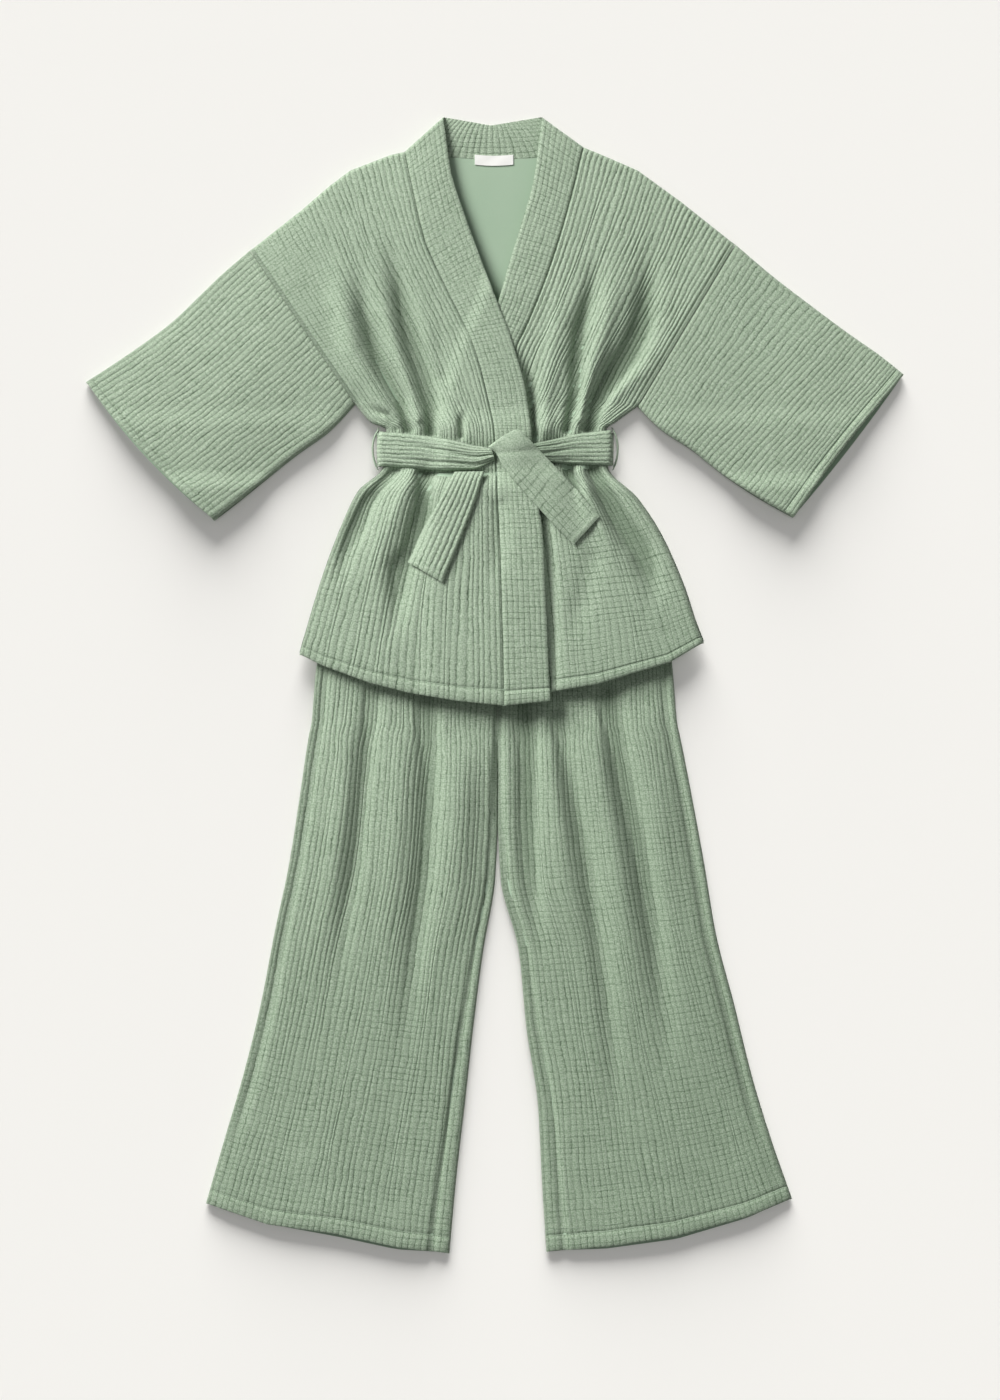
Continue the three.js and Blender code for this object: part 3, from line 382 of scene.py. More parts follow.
def sash_edge(side):
    points = sorted(row[side] for which in SIDES for row in SASH_ROWS[which])
    return lambda x: np.interp(x, [p[0] for p in points], [p[1] for p in points])


SASH_TOP, SASH_FOOT = sash_edge("high"), sash_edge("low")


def from_belt(x, y):
    """Distance from the stretch that the sash presses."""
    away = np.maximum(np.maximum(y - SASH_TOP(x), SASH_FOOT(x) - y), 0)
    return np.hypot(away, np.maximum(np.maximum(BELT_ENDS[0] - x, x - BELT_ENDS[1]), 0))


def troughs(x, y, folds):
    """Depth of the folds, narrower near the sash and running out at their far ends."""
    total = np.zeros(np.shape(x))
    for fold in folds:
        path = fold["path"]
        wide = fold["wide"] * mix(0.75, 1.25, ease(0, 90, from_belt(x, y)))
        d = distance(x, y, path) / wide
        start, end = path[0], path[-1]
        along = np.hypot(x - end[0], y - end[1]) / np.hypot(start[0] - end[0], start[1] - end[1])
        total += fold["depth"] * bell(d, 1) * ease(0, 0.55, along)
    return total


def swell(x, y):
    """The cloth's slow unevenness, the same for every layer."""
    return (0.5 * np.sin(x / 31 + y / 57 + 0.4) + 0.45 * np.sin(x / 23 - y / 71 + 2.1)
            + 0.35 * np.sin(y / 43 + x / 97 + 1.3))


def waver(a, b, seed):
    """A small smooth number between -1 and 1 that wanders over two coordinates."""
    return (np.sin(a * 1.7 + b * 0.9 + seed) + np.sin(a * 0.63 - b * 1.9 + 2 * seed)
            + np.sin(a * 3.1 + b * 0.37 - seed)) / 3


def noise(a, b, seed):
    """Blocky repeatable noise from 0 to 1 on whole numbers a and b."""
    raw = np.sin(a * 127.1 + b * 311.7 + seed * 74.7) * 43758.5453
    return raw - np.floor(raw)


# Curves shared by neighbouring pieces

def side_curve(rows, tip):
    under = UNDERARM_ROW / (len(rows) - 1)
    side = by_row([row["side"] for row in rows[:UNDERARM_ROW + 1]])
    foot = np.array(rows[UNDERARM_ROW]["side"], float)

    def at(v):
        v = np.asarray(v, float)
        hole = np.clip((v - under) / (1 - under), 0, 1)[..., None]
        straight = mix(foot, np.array(tip, float), hole)
        return np.where((v <= under)[..., None], side(np.minimum(v / under, 1)), straight)
    return at


def column(rows, name):
    return [row[name] for row in rows if name in row]


SIDE = {k: side_curve(ROWS[k], TIP[k]) for k in SIDES}
BAND_SEAM = {k: by_row(column(ROWS[k], "seam")) for k in SIDES}
BAND_EDGE = {k: by_row(column(ROWS[k], "edge")) for k in SIDES}


def band_end(which, t):
    """Straight across the neckband, at its foot or its top."""
    return by_length([BAND_SEAM[which](t), BAND_EDGE[which](t)])


def x_at(points):
    order = np.array(sorted(points, key=lambda p: p[1]), float)
    return lambda y: np.interp(y, order[:, 1], order[:, 0])


FREE_LEFT, FREE_RIGHT = (x_at(column(ROWS[k], "edge")) for k in SIDES)
OUT_LEFT, IN_LEFT, IN_RIGHT, OUT_RIGHT = (x_at(column(LEGS, k)) for k in ("out", "in", "in2", "out2"))
TURNED = [                     # the jacket's turned edges: over the arms, then under them
    *([ROWS[k][-1]["edge"], *SHOULDER[k][::-1], *column(SLEEVE[k][1:], "upper")] for k in SIDES),
    *([*column(ROWS[k], "side"), *column(SLEEVE[k][1:], "lower")] for k in SIDES),
]


# Heights of the layers

def hem_height(x):
    """Where the jacket back's hem lies."""
    return np.interp(x, [p[0] for p in BACK_HEM], [p[1] for p in BACK_HEM])


def back_level(x, y):
    """The jacket back lies on the sash's back stretch and, lower down, on the trousers."""
    on_sash = ease(RAMP_BACK, BELT_HIGH + 3, y) * SASH_LIFT
    return on_sash + ease(RAMP_TOP, RAMP_LOW, y) * (TROUSER_LIFT - SASH_LIFT)


def belt_free(x, y):
    """From 0 under the sash to 1 where the cloth is free of it."""
    return grown(from_belt(x, y), BELT_REACH)


def back_turn(y):
    """Height of the back's turned sides, low under the sash. The fronts' make up for it."""
    away = np.maximum(np.maximum(y - BELT_HIGH, BELT_LOW - y), 0)
    return mix(BELT_TURN, JACKET_TURN, ease(0, BELT_SPREAD, away))


def front_turn(y):
    return 2 * JACKET_TURN - back_turn(y)


def floored(top, least):
    """Folds deeper than the cloth has room for are mostly filled up."""
    return np.maximum(top, least + 0.2 * (top - least))


def jacket_top(x, y):
    edge = np.min([distance(x, y, chain) for chain in TURNED], axis=0)
    free = belt_free(x, y)
    inside = 1 - bell(edge, 16)
    crown = mix(BELT_CROWN, JACKET_CROWN, free) * grown(edge, CROWN_REACH)
    away = from_belt(x, y)
    puff = mix(*PUFF, ease(280, 320, y)) * bell(away - 12, 26) * grown(away, 4)
    fold = troughs(x, y, JACKET_FOLDS) * mix(0.1, 1, grown(away, 2)) * inside
    lift = (puff + swell(x, y) * free) * inside
    return back_level(x, y) + floored(2 * JACKET_TURN + SIDE_SEAM + crown - fold + lift, JACKET_LEAST)


def right_top(x, y):
    return jacket_top(x, y) - troughs(x, y, RIGHT_FOLDS) * grown(from_belt(x, y), 3)


def lap(x, y):
    """How much the left front is lifted by the right one under it."""
    return LAP * ease(-34, -12, x - FREE_RIGHT(y))


def left_top(x, y):
    return jacket_top(x, y) + lap(x, y)


def cover_top(x, y):
    """The top of both fronts, with the step at the left one's free edge."""
    return jacket_top(x, y) + lap(x, y) * ease(42, 7, x - FREE_LEFT(y))


def trouser_top(x, y):
    """The legs' top: pressed under the jacket, one width down to the crotch, then two legs."""
    below = np.maximum(0, hem_height(x) - 34 - y)
    free = 1 - bell(below, 45)
    outer = np.minimum(x - OUT_LEFT(y), OUT_RIGHT(y) - x)
    inner = np.where(x < SEAT_X, IN_LEFT(y) - x, x - IN_RIGHT(y))
    outer, inner = np.maximum(outer, 0), np.maximum(inner, 0)
    whole = ease(-210, -60, y)
    crown = mix(PRESSED_CROWN, LEG_CROWN, free) * grown(outer, 45) * mix(grown(inner, 45), 1, whole)
    inside = (1 - bell(outer, 22)) * mix(1 - bell(inner, 22), 1, whole)
    fold = troughs(x, y, LEG_FOLDS) * inside
    sunk = np.maximum(fold, 0) * ease(20, -10, y - hem_height(x)) + np.minimum(fold, 0) * free
    side = SIDE_GROOVE * bell(outer - SIDE_LINE - 2, 7) * ease(-620, -520, y)
    rise = SEAT_GROOVE * bell(x - SEAT_X, 6) * ease(-240, -60, y)
    line = mix(3, INNER_LINE, ease(-80, -760, y))
    line = INNER_GROOVE * bell(inner - line, 5) * ease(-60, -120, y)
    top = 2 * TROUSER_TURN + SEAM + crown + swell(x, y) * free * inside - sunk - side - rise - line
    return floored(top, TROUSER_LEAST)


# Walls: an outer and an inner skin, zipped along their rims

def reverse(line):
    return line[0][::-1], -line[1][::-1]


def joined(a, b):
    return np.concatenate([a[0], b[0]]), np.concatenate([a[1], b[1]])


def jacket_shade(x, y):
    """Painted shade in the folds, most of all in those that the light runs along."""
    lit_along = mix(1, 2.1, ease(60, 140, x)) * mix(1, 0.75, ease(300, 350, y))
    return np.clip(troughs(x, y, JACKET_FOLDS) / DARKEST["jacket"] * lit_along, 0, 1.1)


# painted shade: the jacket's fold shade, with more in the troughs beside the left front's free edge
def right_shade(x, y):
    return np.clip(jacket_shade(x, y) + troughs(x, y, RIGHT_FOLDS) / DARKEST["lap"], 0, 1)


# painted shade at the bottom of the trouser folds
def leg_shade(x, y):
    return np.clip(troughs(x, y, LEG_FOLDS) / DARKEST["leg"], 0, 1)


def even(value):
    return lambda x, y: np.full(np.shape(x), value)


ALL_RIBS, HALF_GRID, ALL_GRID = even(0.06), even(0.42), even(0.95)


class Wall:
    """The points and faces of one piece, gathered skin by skin and made into a mesh."""

    def __init__(self):
        self.points, self.uvs, self.faces, self.kinds, self.count = [], [], [], [], 0

    def skin(self, us, vs, face, up, kind=0):
        """Adds the face sampled at us and vs, and returns its four border lines."""
        u, v = np.meshgrid(us, vs)
        points, uv = face(u, v)
        ids = self.count + np.arange(u.size).reshape(u.shape)
        self.points.append(points.reshape(-1, 3))
        self.uvs.append(uv.reshape(-1, 2))
        self.count += u.size
        a, b, c, d = ids[:-1, :-1], ids[:-1, 1:], ids[1:, 1:], ids[1:, :-1]
        quads = np.stack([a, b, c, d] if up else [a, d, c, b], -1).reshape(-1, 4)
        self.faces.extend(quads.tolist())
        self.kinds.extend([kind] * len(quads))
        us, vs = np.asarray(us), np.asarray(vs)
        return {"south": (ids[0], us), "north": (ids[-1], us),
                "west": (ids[:, 0], vs), "east": (ids[:, -1], vs)}

    def zip(self, a, b, kind=0):
        """Joins two border lines with triangles, step by step along both."""
        i = j = 0
        while i < len(a[0]) - 1 or j < len(b[0]) - 1:
            second = i == len(a[0]) - 1 or (j < len(b[0]) - 1 and b[1][j + 1] <= a[1][i + 1] + 1e-9)
            step = (i, j + 1) if second else (i + 1, j)
            third = b[0][j + 1] if second else a[0][i + 1]
            self.faces.append([int(a[0][i]), int(b[0][j]), int(third)])
            self.kinds.append(kind)
            i, j = step

    def rims(self, top, bottom):
        self.zip(top["south"], bottom["south"])
        self.zip(top["east"], bottom["east"])
        self.zip(reverse(top["north"]), reverse(bottom["north"]))
        self.zip(reverse(top["west"]), reverse(bottom["west"]))

    def build(self, name, kinds, slot, replaces=(), grid=ALL_RIBS, plain=None, shade=None):
        """The mesh, with its materials by kind and its looks as named fields over x and y."""
        points = np.concatenate(self.points)
        tris = np.array([(f[0], f[k], f[k + 1]) for f in self.faces for k in range(1, len(f) - 1)])
        p, q, r = (points[tris[:, k]] for k in range(3))
        faces = self.faces
        if np.einsum("ij,ij->i", p, np.cross(q, r)).sum() < 0:
            faces = [f[::-1] for f in faces]
        mesh = bpy.data.meshes.new(name)
        mesh.from_pydata(((points + SHIFT) * MM).tolist(), [], faces)
        for kind in kinds:
            mesh.materials.append(material(kind))
        mesh.polygons.foreach_set("material_index", np.minimum(self.kinds, len(kinds) - 1))
        mesh.polygons.foreach_set("use_smooth", np.ones(len(faces), bool))
        corner = np.empty(len(mesh.loops), int)
        mesh.loops.foreach_get("vertex_index", corner)
        layer = mesh.uv_layers.new(name="cloth")
        layer.data.foreach_set("uv", np.concatenate(self.uvs)[corner].ravel())
        for key, field in (("grid", grid), ("plain", plain), ("shade", shade)):
            if field:
                values = field(points[:, 0], points[:, 1]).astype(np.float32)
                mesh.attributes.new(key, "FLOAT", "POINT").data.foreach_set("value", values)
        mesh.set_sharp_from_angle(angle=1.1)
        return settle(name, mesh, replaces)


def settle(name, mesh, replaces=()):
    """Puts a finished mesh in the scene and says what it is to the frame."""
    piece = bpy.data.objects.new(name, mesh)
    bpy.context.scene.collection.objects.link(piece)
    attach(piece, "root")
    if replaces:
        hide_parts(*replaces)
    return piece


label_low, label_high = (np.array(corner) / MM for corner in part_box("label"))
SHIFT = np.array([
    (label_low[0] + label_high[0]) / 2 - LABEL["middle"][0],
    label_high[1] - LABEL["middle"][1] - LABEL["high"] / 2,
    0,
])


def placer(plan, turn, west=None, east=None, north=None):
    """Places on a panel. u runs 0 to 1 from west to east and v from south to north on the
    flat; one more at either end goes round a turned edge."""
    def tangent(end):
        a, b = plan(end, 0.97), plan(end, 1.0)
        return (b - a) / np.hypot(*(b - a))
    left_up, right_up = tangent(0.0), tangent(1.0)

    def place(u, v):
        uc, vc = np.clip(u, 0, 1), np.clip(v, 0, 1)
        p, a, b = plan(uc, vc), plan(np.zeros_like(uc), vc), plan(np.ones_like(uc), vc)
        across = (b - a) / np.linalg.norm(b - a, axis=-1, keepdims=True)
        up = mix(left_up, right_up, uc[..., None])
        up = up / np.linalg.norm(up, axis=-1, keepdims=True)
        shift = mix(turn if west else SEAM * 0.5, -(turn if east else SEAM * 0.5), u)
        angle, turned, out = np.zeros_like(u), np.ones_like(u), np.zeros_like(p)
        for past, curve, sign in ((u < 0, west, -1), (u > 1, east, 1)):
            if not past.any():
                continue
            bent = (np.abs(u - uc) * np.pi / 2)[past]
            hold = curve(vc[past])
            angle[past], turned[past], out[past] = bent, hold, sign * across[past]
            shift[past] = -sign * (turn * (1 - np.sin(bent)) + SEAM * 0.5 * (1 - hold))
        drop = (turn if north else SEAM * 0.5) * ease(0.8, 1, v)
        past = v > 1
        if past.any():
            bent = (v[past] - 1) * np.pi / 2
            hold = north(uc[past])
            angle[past], turned[past], out[past] = bent, hold, up[past]
            drop[past] = turn * (1 - np.sin(bent)) + SEAM * 0.5 * (1 - hold)
        xy = p + across * shift[..., None] - up * drop[..., None]
        return xy[..., 0], xy[..., 1], out, angle, turned
    return place


def faces_of(place, level, turn, wall, relief=None, upper=True, scale=(1, 1), moved=None):
    """The outer and inner faces of a wall whose outer face stands at the given level. turn is
    the height of its turned edges, or gives it at each y."""
    sign = 1 if upper else -1
    rise = turn if callable(turn) else lambda y: turn

    def uv(u, v):
        return np.stack([u * scale[0], v * scale[1]], -1) + (moved(u, v) if moved else 0)

    def outer(u, v):
        x, y, out, angle, turned = place(u, v)
        z = level(x, y) - sign * turned * rise(y) * (1 - np.cos(angle))
        if relief:
            z = z + relief(u, v, x, y) * np.cos(angle) ** 2
        return np.stack([x, y, z], -1), uv(u, v)

    def inner(u, v):
        x, y, out, angle, turned = place(u, v)
        lean = turned * wall * np.sin(angle)
        depth = mix(wall, rise(y) - (rise(y) - wall) * np.cos(angle), turned)
        z = level(x, y) - sign * depth
        return np.stack([x - out[..., 0] * lean, y - out[..., 1] * lean, z], -1), uv(u, v)
    return outer, inner


def under_faces(place, turn, wall, scale):
    """The faces of a plain panel that lies on the floor."""
    return faces_of(place, zero, turn, wall, upper=False, scale=scale)


ROUND = np.arange(1, 6) / 5
BEFORE, AFTER = -ROUND[::-1], 1 + ROUND


def ribbed(count, parts=(0, 0.2, 0.5, 0.8)):
    """Stops across count ribs, each with one in its groove and three over its back."""
    return np.concatenate([*((k + np.array(parts)) / count for k in range(count)), [1.0]])


def steps(count, low=0.0, high=1.0):
    return np.linspace(low, high, count + 1)


def rib_relief(r, height, seed, x=0.0, y=0.0):
    """Height of the cloth at rib number r. Each rib is a little taller or lower than the
    next, and comes and goes along the cloth."""
    which = np.floor(r + 1e-6)
    back = np.abs(np.sin(np.pi * r)) ** 0.7
    along = 0.85 + 0.45 * waver(x / 26, y / 37, seed)
    return height * (0.65 + 0.7 * noise(which, 3, seed)) * along * (back - 0.6)


def wandering(place, ribs, seed, reach=0.55):
    """The same places with the ribs drifting to and fro, as crinkled cloth does."""
    def moved(u, v):
        inner = np.clip(u, 0, 1)
        calm = np.clip(8 * inner * (1 - inner), 0, 1) * np.clip(10 * np.clip(1 - v, 0, 1), 0, 1)
        drift = waver(inner * 13, v * 9, seed) + 0.5 * waver(inner * ribs, v * 15, seed + 1)
        return place(u + calm * reach * drift / ribs, v)
    return moved


def grid_front_left(x, y):
    arm = distance(x, y, [LEFT_ROWS[UNDERARM_ROW]["side"], TIP["left"]])
    upper = ease(110, 45, arm) * ease(380, 430, y)
    skirt = 0.15 * ease(250, 120, y) + 0.2 * ease(-90, -200, x) * ease(260, 160, y)
    return np.clip(upper + skirt + 0.1 + 0.15 * waver(x / 60, y / 60, 1.0), 0, 1)


def grid_front_right(x, y):
    skirt = ease(262, 200, y) * ease(70, 105, x)
    return np.clip(0.9 * skirt + 0.25 * ease(250, 80, y) + 0.12 * waver(x / 60, y / 60, 2.0), 0, 1)


def grid_leg_left(x, y):
    return np.clip(0.25 + 0.5 * ease(-250, -560, y) + 0.22 * waver(x / 70, y / 90, 3.0), 0, 1)


def grid_leg_right(x, y):
    return np.clip(0.75 - 0.35 * ease(-160, -60, y) + 0.25 * waver(x / 60, y / 110, 4.0), 0, 1)


# Materials

class Nodes:
    """Short calls that add and join the nodes of one material."""

    def __init__(self, name):
        self.material = bpy.data.materials.new(name)
        self.material.use_nodes = True
        self.tree = self.material.node_tree
        self.shader = self.tree.nodes["Principled BSDF"]

    def add(self, kind, inputs=None, **settings):
        node = self.tree.nodes.new(kind)
        for key, value in settings.items():
            setattr(node, key, value)
        return self.put(node, inputs or {})

    def put(self, node, inputs):
        for key, value in inputs.items():
            if isinstance(value, bpy.types.NodeSocket):
                self.tree.links.new(value, node.inputs[key])
            else:
                node.inputs[key].default_value = value
        return node

    def finish(self, tone, normal, **inputs):
        """Joins up the shader, with its other inputs named with _ for a space."""
        joined_up = {key.replace("_", " "): value for key, value in inputs.items()}
        if normal:
            joined_up["Normal"] = normal
        self.put(self.shader, {"Base Color": tone, **joined_up})
        return self.material

    def math(self, operation, a, b=0.0, c=0.0):
        return self.add("ShaderNodeMath", {0: a, 1: b, 2: c}, operation=operation).outputs[0]

    def times(self, a, b):
        return self.math("MULTIPLY", a, b)

    def less(self, a, b):
        return self.math("SUBTRACT", a, b)

    def scaled(self, value, by, plus):
        return self.math("MULTIPLY_ADD", value, by, plus)

    def value(self, name):
        return self.add("ShaderNodeAttribute", attribute_name=name).outputs["Fac"]

    def solid(self):
        return self.add("ShaderNodeTexCoord").outputs["Object"]

    def split(self, vector):
        return self.add("ShaderNodeSeparateXYZ", {0: vector}).outputs

    def noise(self, vector, scale, detail=2.0, roughness=0.5):
        values = {"Vector": vector, "Scale": scale, "Detail": detail, "Roughness": roughness}
        return self.add("ShaderNodeTexNoise", values).outputs["Fac"]

    def blend(self, factor, a, b):
        return self.add("ShaderNodeMix", data_type="RGBA", inputs={0: factor, 6: a, 7: b}).outputs[2]

    def bump(self, height, strength, far, normal=None):
        values = {"Height": height, "Strength": strength, "Distance": far}
        if normal:
            values["Normal"] = normal
        return self.add("ShaderNodeBump", values).outputs[0]


def colour(red, green, blue):
    """A colour given as on a screen, from 0 to 255, as Blender's own linear values."""
    def linear(value):
        value = value / 255
        return value / 12.92 if value <= 0.04045 else ((value + 0.055) / 1.055) ** 2.4
    return (linear(red), linear(green), linear(blue), 1)


DEEP = colour(130, 151, 126)
PALE = colour(190, 206, 185)
# dark green that the painted shade in grooves, folds and towards the hems blends to; the inside's weave
# also darkens towards it
GROOVE = colour(54, 76, 52)
INSIDE = colour(171, 196, 171)
TAPE = colour(246, 246, 243), colour(222, 222, 218)
THREAD = colour(128, 148, 126), colour(182, 199, 178)
FLOOR = colour(241, 240, 237), colour(236, 235, 232)
PAINTED_SHADE_DOWN = {"reach": (-480, 400), "dark": 0.27}       # painted shade: the light's falloff along y and along x, painted into the cloth's colour; reach in mm
PAINTED_SHADE_ACROSS = {"reach": (-100, 300), "dark": 0.09}
PAINTED_FOLD_SHADE = 0.5                # painted shade: blend towards GROOVE at the bottom of the darkest fold


def crinkled_cotton():
    """Green crinkled cotton. Along and across its ribs the cloth is measured by its own map.
    The grid attribute goes from 0, ribs along the cloth, to 1, a grid of fine crinkles, the
    plain attribute fades both, and the shade attribute paints shade at the bottom of a fold.
    Painted shade also darkens the grooves and falls off towards the trouser hems and the right."""
    n = Nodes("crinkled_cotton")
    r, c, _ = n.split(n.add("ShaderNodeUVMap", uv_map="cloth").outputs[0])
    solid, grid = n.solid(), n.value("grid")
    loose, kept = n.less(1.0, grid), n.less(1.0, n.value("plain"))

    def ranged(value, low, high, at_low, at_high):
        values = {"Value": value, "From Min": low, "From Max": high, "To Min": at_low,
                  "To Max": at_high}
        return n.add("ShaderNodeMapRange", values, interpolation_type="SMOOTHSTEP").outputs["Result"]

    def drifted(value, scale, reach):
        return n.scaled(n.less(n.noise(solid, scale), 0.5), reach, value)

    def noise_at(a, b, c, scale=1.0):
        return n.noise(n.add("ShaderNodeCombineXYZ", {0: a, 1: b, 2: c}).outputs[0], scale)

    own = n.add("ShaderNodeTexWhiteNoise", {"W": n.math("FLOOR", r)}, noise_dimensions="1D")
    ribs = drifted(drifted(r, 45.0, 0.5), 230.0, n.scaled(loose, 0.4, 0.15))
    crinkles = drifted(drifted(n.scaled(loose, own.outputs["Value"], c), 32.0, 0.6), 230.0, 0.2)
    rib_side, crinkle_side = n.math("PINGPONG", ribs, 0.5), n.math("PINGPONG", crinkles, 0.5)

    # painted shade: dark lines in the grooves, where shade falls, each with its own strength, that come
    # and go along it
    rib_shade_strength = noise_at(n.times(n.math("ROUND", ribs), 3.7), n.times(c, 0.14), 1.0)
    crinkle_shade_strength = noise_at(n.times(r, 0.2), n.times(n.math("ROUND", crinkles), 5.3), 7.0)
    dashes = noise_at(r, n.times(c, 1.3), 3.0, 1.4)
    rib_groove_shade = ranged(rib_side, 0.0, n.scaled(grid, -0.03, 0.19), 1.0, 0.0)
    rib_groove_shade = n.times(rib_groove_shade, ranged(rib_shade_strength, 0.36, 0.66, 0.35, 1.0))
    rib_groove_shade = n.times(rib_groove_shade, ranged(dashes, 0.3, 0.6, 0.45, 1.1))
    rib_groove_shade = n.times(rib_groove_shade, n.scaled(grid, -0.28, 0.8))
    crinkle_groove_shade = ranged(crinkle_side, 0.0, 0.17, 1.0, 0.0)
    crinkle_groove_shade = n.times(crinkle_groove_shade, ranged(crinkle_shade_strength, 0.34, 0.62, 0.3, 1.0))
    crinkle_groove_shade = n.times(crinkle_groove_shade, n.scaled(grid, 0.42, 0.08))
    dark = n.times(n.math("ADD", rib_groove_shade, crinkle_groove_shade), kept)
    speckle = n.noise(solid, 700.0, 2.0, 0.7)
    lined = n.blend(n.math("MINIMUM", dark, 0.85),
                    n.blend(ranged(speckle, 0.3, 0.7, 0.0, 1.0), DEEP, PALE), GROOVE)

    # painted shade: darker towards the trouser hems and the right, where the light falls off, and in
    # the folds
    x, y, _ = n.split(solid)
    low, high = ((at + SHIFT[1]) * MM for at in PAINTED_SHADE_DOWN["reach"])
    left, right = ((at + SHIFT[0]) * MM for at in PAINTED_SHADE_ACROSS["reach"])
    painted_falloff = n.math("ADD", ranged(y, low, high, PAINTED_SHADE_DOWN["dark"], 0.0),
                     ranged(x, left, right, 0.0, PAINTED_SHADE_ACROSS["dark"]))
    # painted shade at the bottom of the folds, from the shade attribute
    sunk = n.times(n.value("shade"), PAINTED_FOLD_SHADE)

    rise = n.math("POWER", n.times(rib_side, 2.0), 0.6)
    rise = n.times(rise, n.scaled(grid, -0.35, 0.75))
    height = n.less(n.times(rise, kept), n.times(dark, 0.5))
    return n.finish(n.blend(n.math("MAXIMUM", painted_falloff, sunk), lined, GROOVE),
                    n.bump(speckle, 0.2, 0.0005, n.bump(height, 0.55, 0.0012)), Roughness=0.95,
                    Specular_IOR_Level=0.12, Sheen_Weight=0.2, Sheen_Roughness=0.5)


def inside_cotton():
    """The plain inner face of the cloth, a fine even weave."""
    n = Nodes("cotton_inside")
    weave, patch = n.noise(n.solid(), 1100.0, 2.0, 0.6), n.noise(n.solid(), 14.0, 3.0)
    base = n.blend(n.times(weave, 0.35), INSIDE, GROOVE)
    return n.finish(n.blend(n.times(patch, 0.25), base, PALE), n.bump(weave, 0.3, 0.0003),
                    Roughness=0.95, Specular_IOR_Level=0.15, Sheen_Weight=0.2)


def woven_tape():
    """White label tape with a fine cross weave."""
    n = Nodes("label_tape")
    place = n.add("ShaderNodeUVMap", uv_map="cloth").outputs[0]
    lines = n.add("ShaderNodeTexWave", {"Vector": place, "Scale": 14.0, "Distortion": 0.6},
                  bands_direction="Y").outputs["Fac"]
    return n.finish(n.blend(n.times(lines, 0.3), *TAPE), n.bump(lines, 0.3, 0.0002), Roughness=0.6)


def sewing_thread():
    """Green thread with the twist of its plies."""
    n = Nodes("sewing_thread")
    twist = n.noise(n.solid(), 2200.0)
    return n.finish(n.blend(twist, *THREAD), n.bump(twist, 0.4, 0.0002), Roughness=0.7)


def pale_floor():
    n = Nodes("pale_floor")
    grain = n.times(n.noise(n.solid(), 3.0), 0.15)
    return n.finish(n.blend(grain, *FLOOR), None, Roughness=0.9)


MAKERS = {"crinkled": crinkled_cotton, "inside": inside_cotton, "tape": woven_tape,
          "thread": sewing_thread}
MATERIALS = {}


def material(kind):
    """Each material is made once, when it is first asked for."""
    if kind not in MATERIALS:
        MATERIALS[kind] = MAKERS[kind]()
    return MATERIALS[kind]


# Panels

COTTON = ("crinkled", "inside")                   # outer and inner face
BACK_FLAT = (640, 740)         # the rectangles that three of the panels are cut from
NECK_FLAT = (240, 62)
WAIST_FLAT = (704, 34)
WAIST_AREA = 23100


def wide_of(plan, v=0.5):
    a, b = plan(0.0, v), plan(1.0, v)
    return float(np.hypot(*(b - a)))


def long_of(plan, u=0.5):
    path = np.array([plan(u, v) for v in np.linspace(0, 1, 30)])
    return float(np.hypot(*np.diff(path, axis=0).T).sum())


def area_of(plan):
    u, v = np.meshgrid(steps(24), steps(60))
    p = plan(u, v)
    a, b = p[1:, 1:] - p[:-1, :-1], p[1:, :-1] - p[:-1, 1:]
    return float(np.abs(a[..., 0] * b[..., 1] - a[..., 1] * b[..., 0]).sum() / 2)


def declare(area, flat):
    """Takes a sheet's area with its turned edges and the rectangle it comes from, and caps the area at
    the rectangle's; nothing more is done with it.
    """
    wide, long = flat
    area = min(area, wide * long)


def panel(name, us, vs, faces, upper, kinds=COTTON, slot="crinkle_cotton", thin=4, **fields):
    """A piece of cloth with a finely relieved outer face and a plainer inner one."""
    outer, inner = faces
    wall = Wall()
    us, vs = np.asarray(us), np.asarray(vs)
    plain_us = us[np.unique(np.r_[0:len(us):thin, len(us) - 1])]
    plain_vs = vs[np.unique(np.r_[0:len(vs):thin, len(vs) - 1])]
    first = wall.skin(us, vs, outer, upper)
    second = wall.skin(plain_us, plain_vs, inner, not upper, 1)
    wall.rims(*((first, second) if upper else (second, first)))
    return wall.build(name, kinds, slot, (name.replace("_cloth", ""),), **fields)


def front_plan(which):
    return outline(SIDE[which], BAND_SEAM[which], by_length(HEM[which]), by_length(SHOULDER[which]))


def side_turned(v):
    """The jacket's side is turned below the armhole."""
    last = len(LEFT_ROWS) - 1
    return ease((UNDERARM_ROW + 0.2) / last, (UNDERARM_ROW - 0.2) / last, v)


def always(t):
    return np.ones_like(t)


HEM_STOPS = (0, 1, 2.5, 5, 8, 11, 13, 14.3, 15.1, 15.6, 16.1, 17, 18.5, 20.5)


def hem_rows(long, step):
    """Stops from a hem along a panel, close together round the topstitching."""
    rest = (long - HEM_STOPS[-1]) / step
    return np.array([*HEM_STOPS[:-1], *np.linspace(HEM_STOPS[-1], long, int(rest) + 1)]) / long


def hem_dip(far):
    """A hem's rounded edge, its soft double cloth and the dent along its topstitching."""
    band = 0.8 * np.clip(np.sin(np.pi * far / HEM_DEPTH), 0, 1) * (far < HEM_DEPTH)
    return band - 1.3 * np.exp(-(((far - HEM_DEPTH) / 1.5) ** 2)) - 1.2 * np.exp(-((far / 1.3) ** 2))


def calm_hem(far):
    """How much of its ribs the cloth shows in the double cloth of a hem."""
    return mix(0.45, 1, ease(HEM_DEPTH - 2, HEM_DEPTH + 4, far))


def seam_dip(far, depth=1.0, wide=2.4):
    return -depth * np.exp(-((far / wide) ** 2))


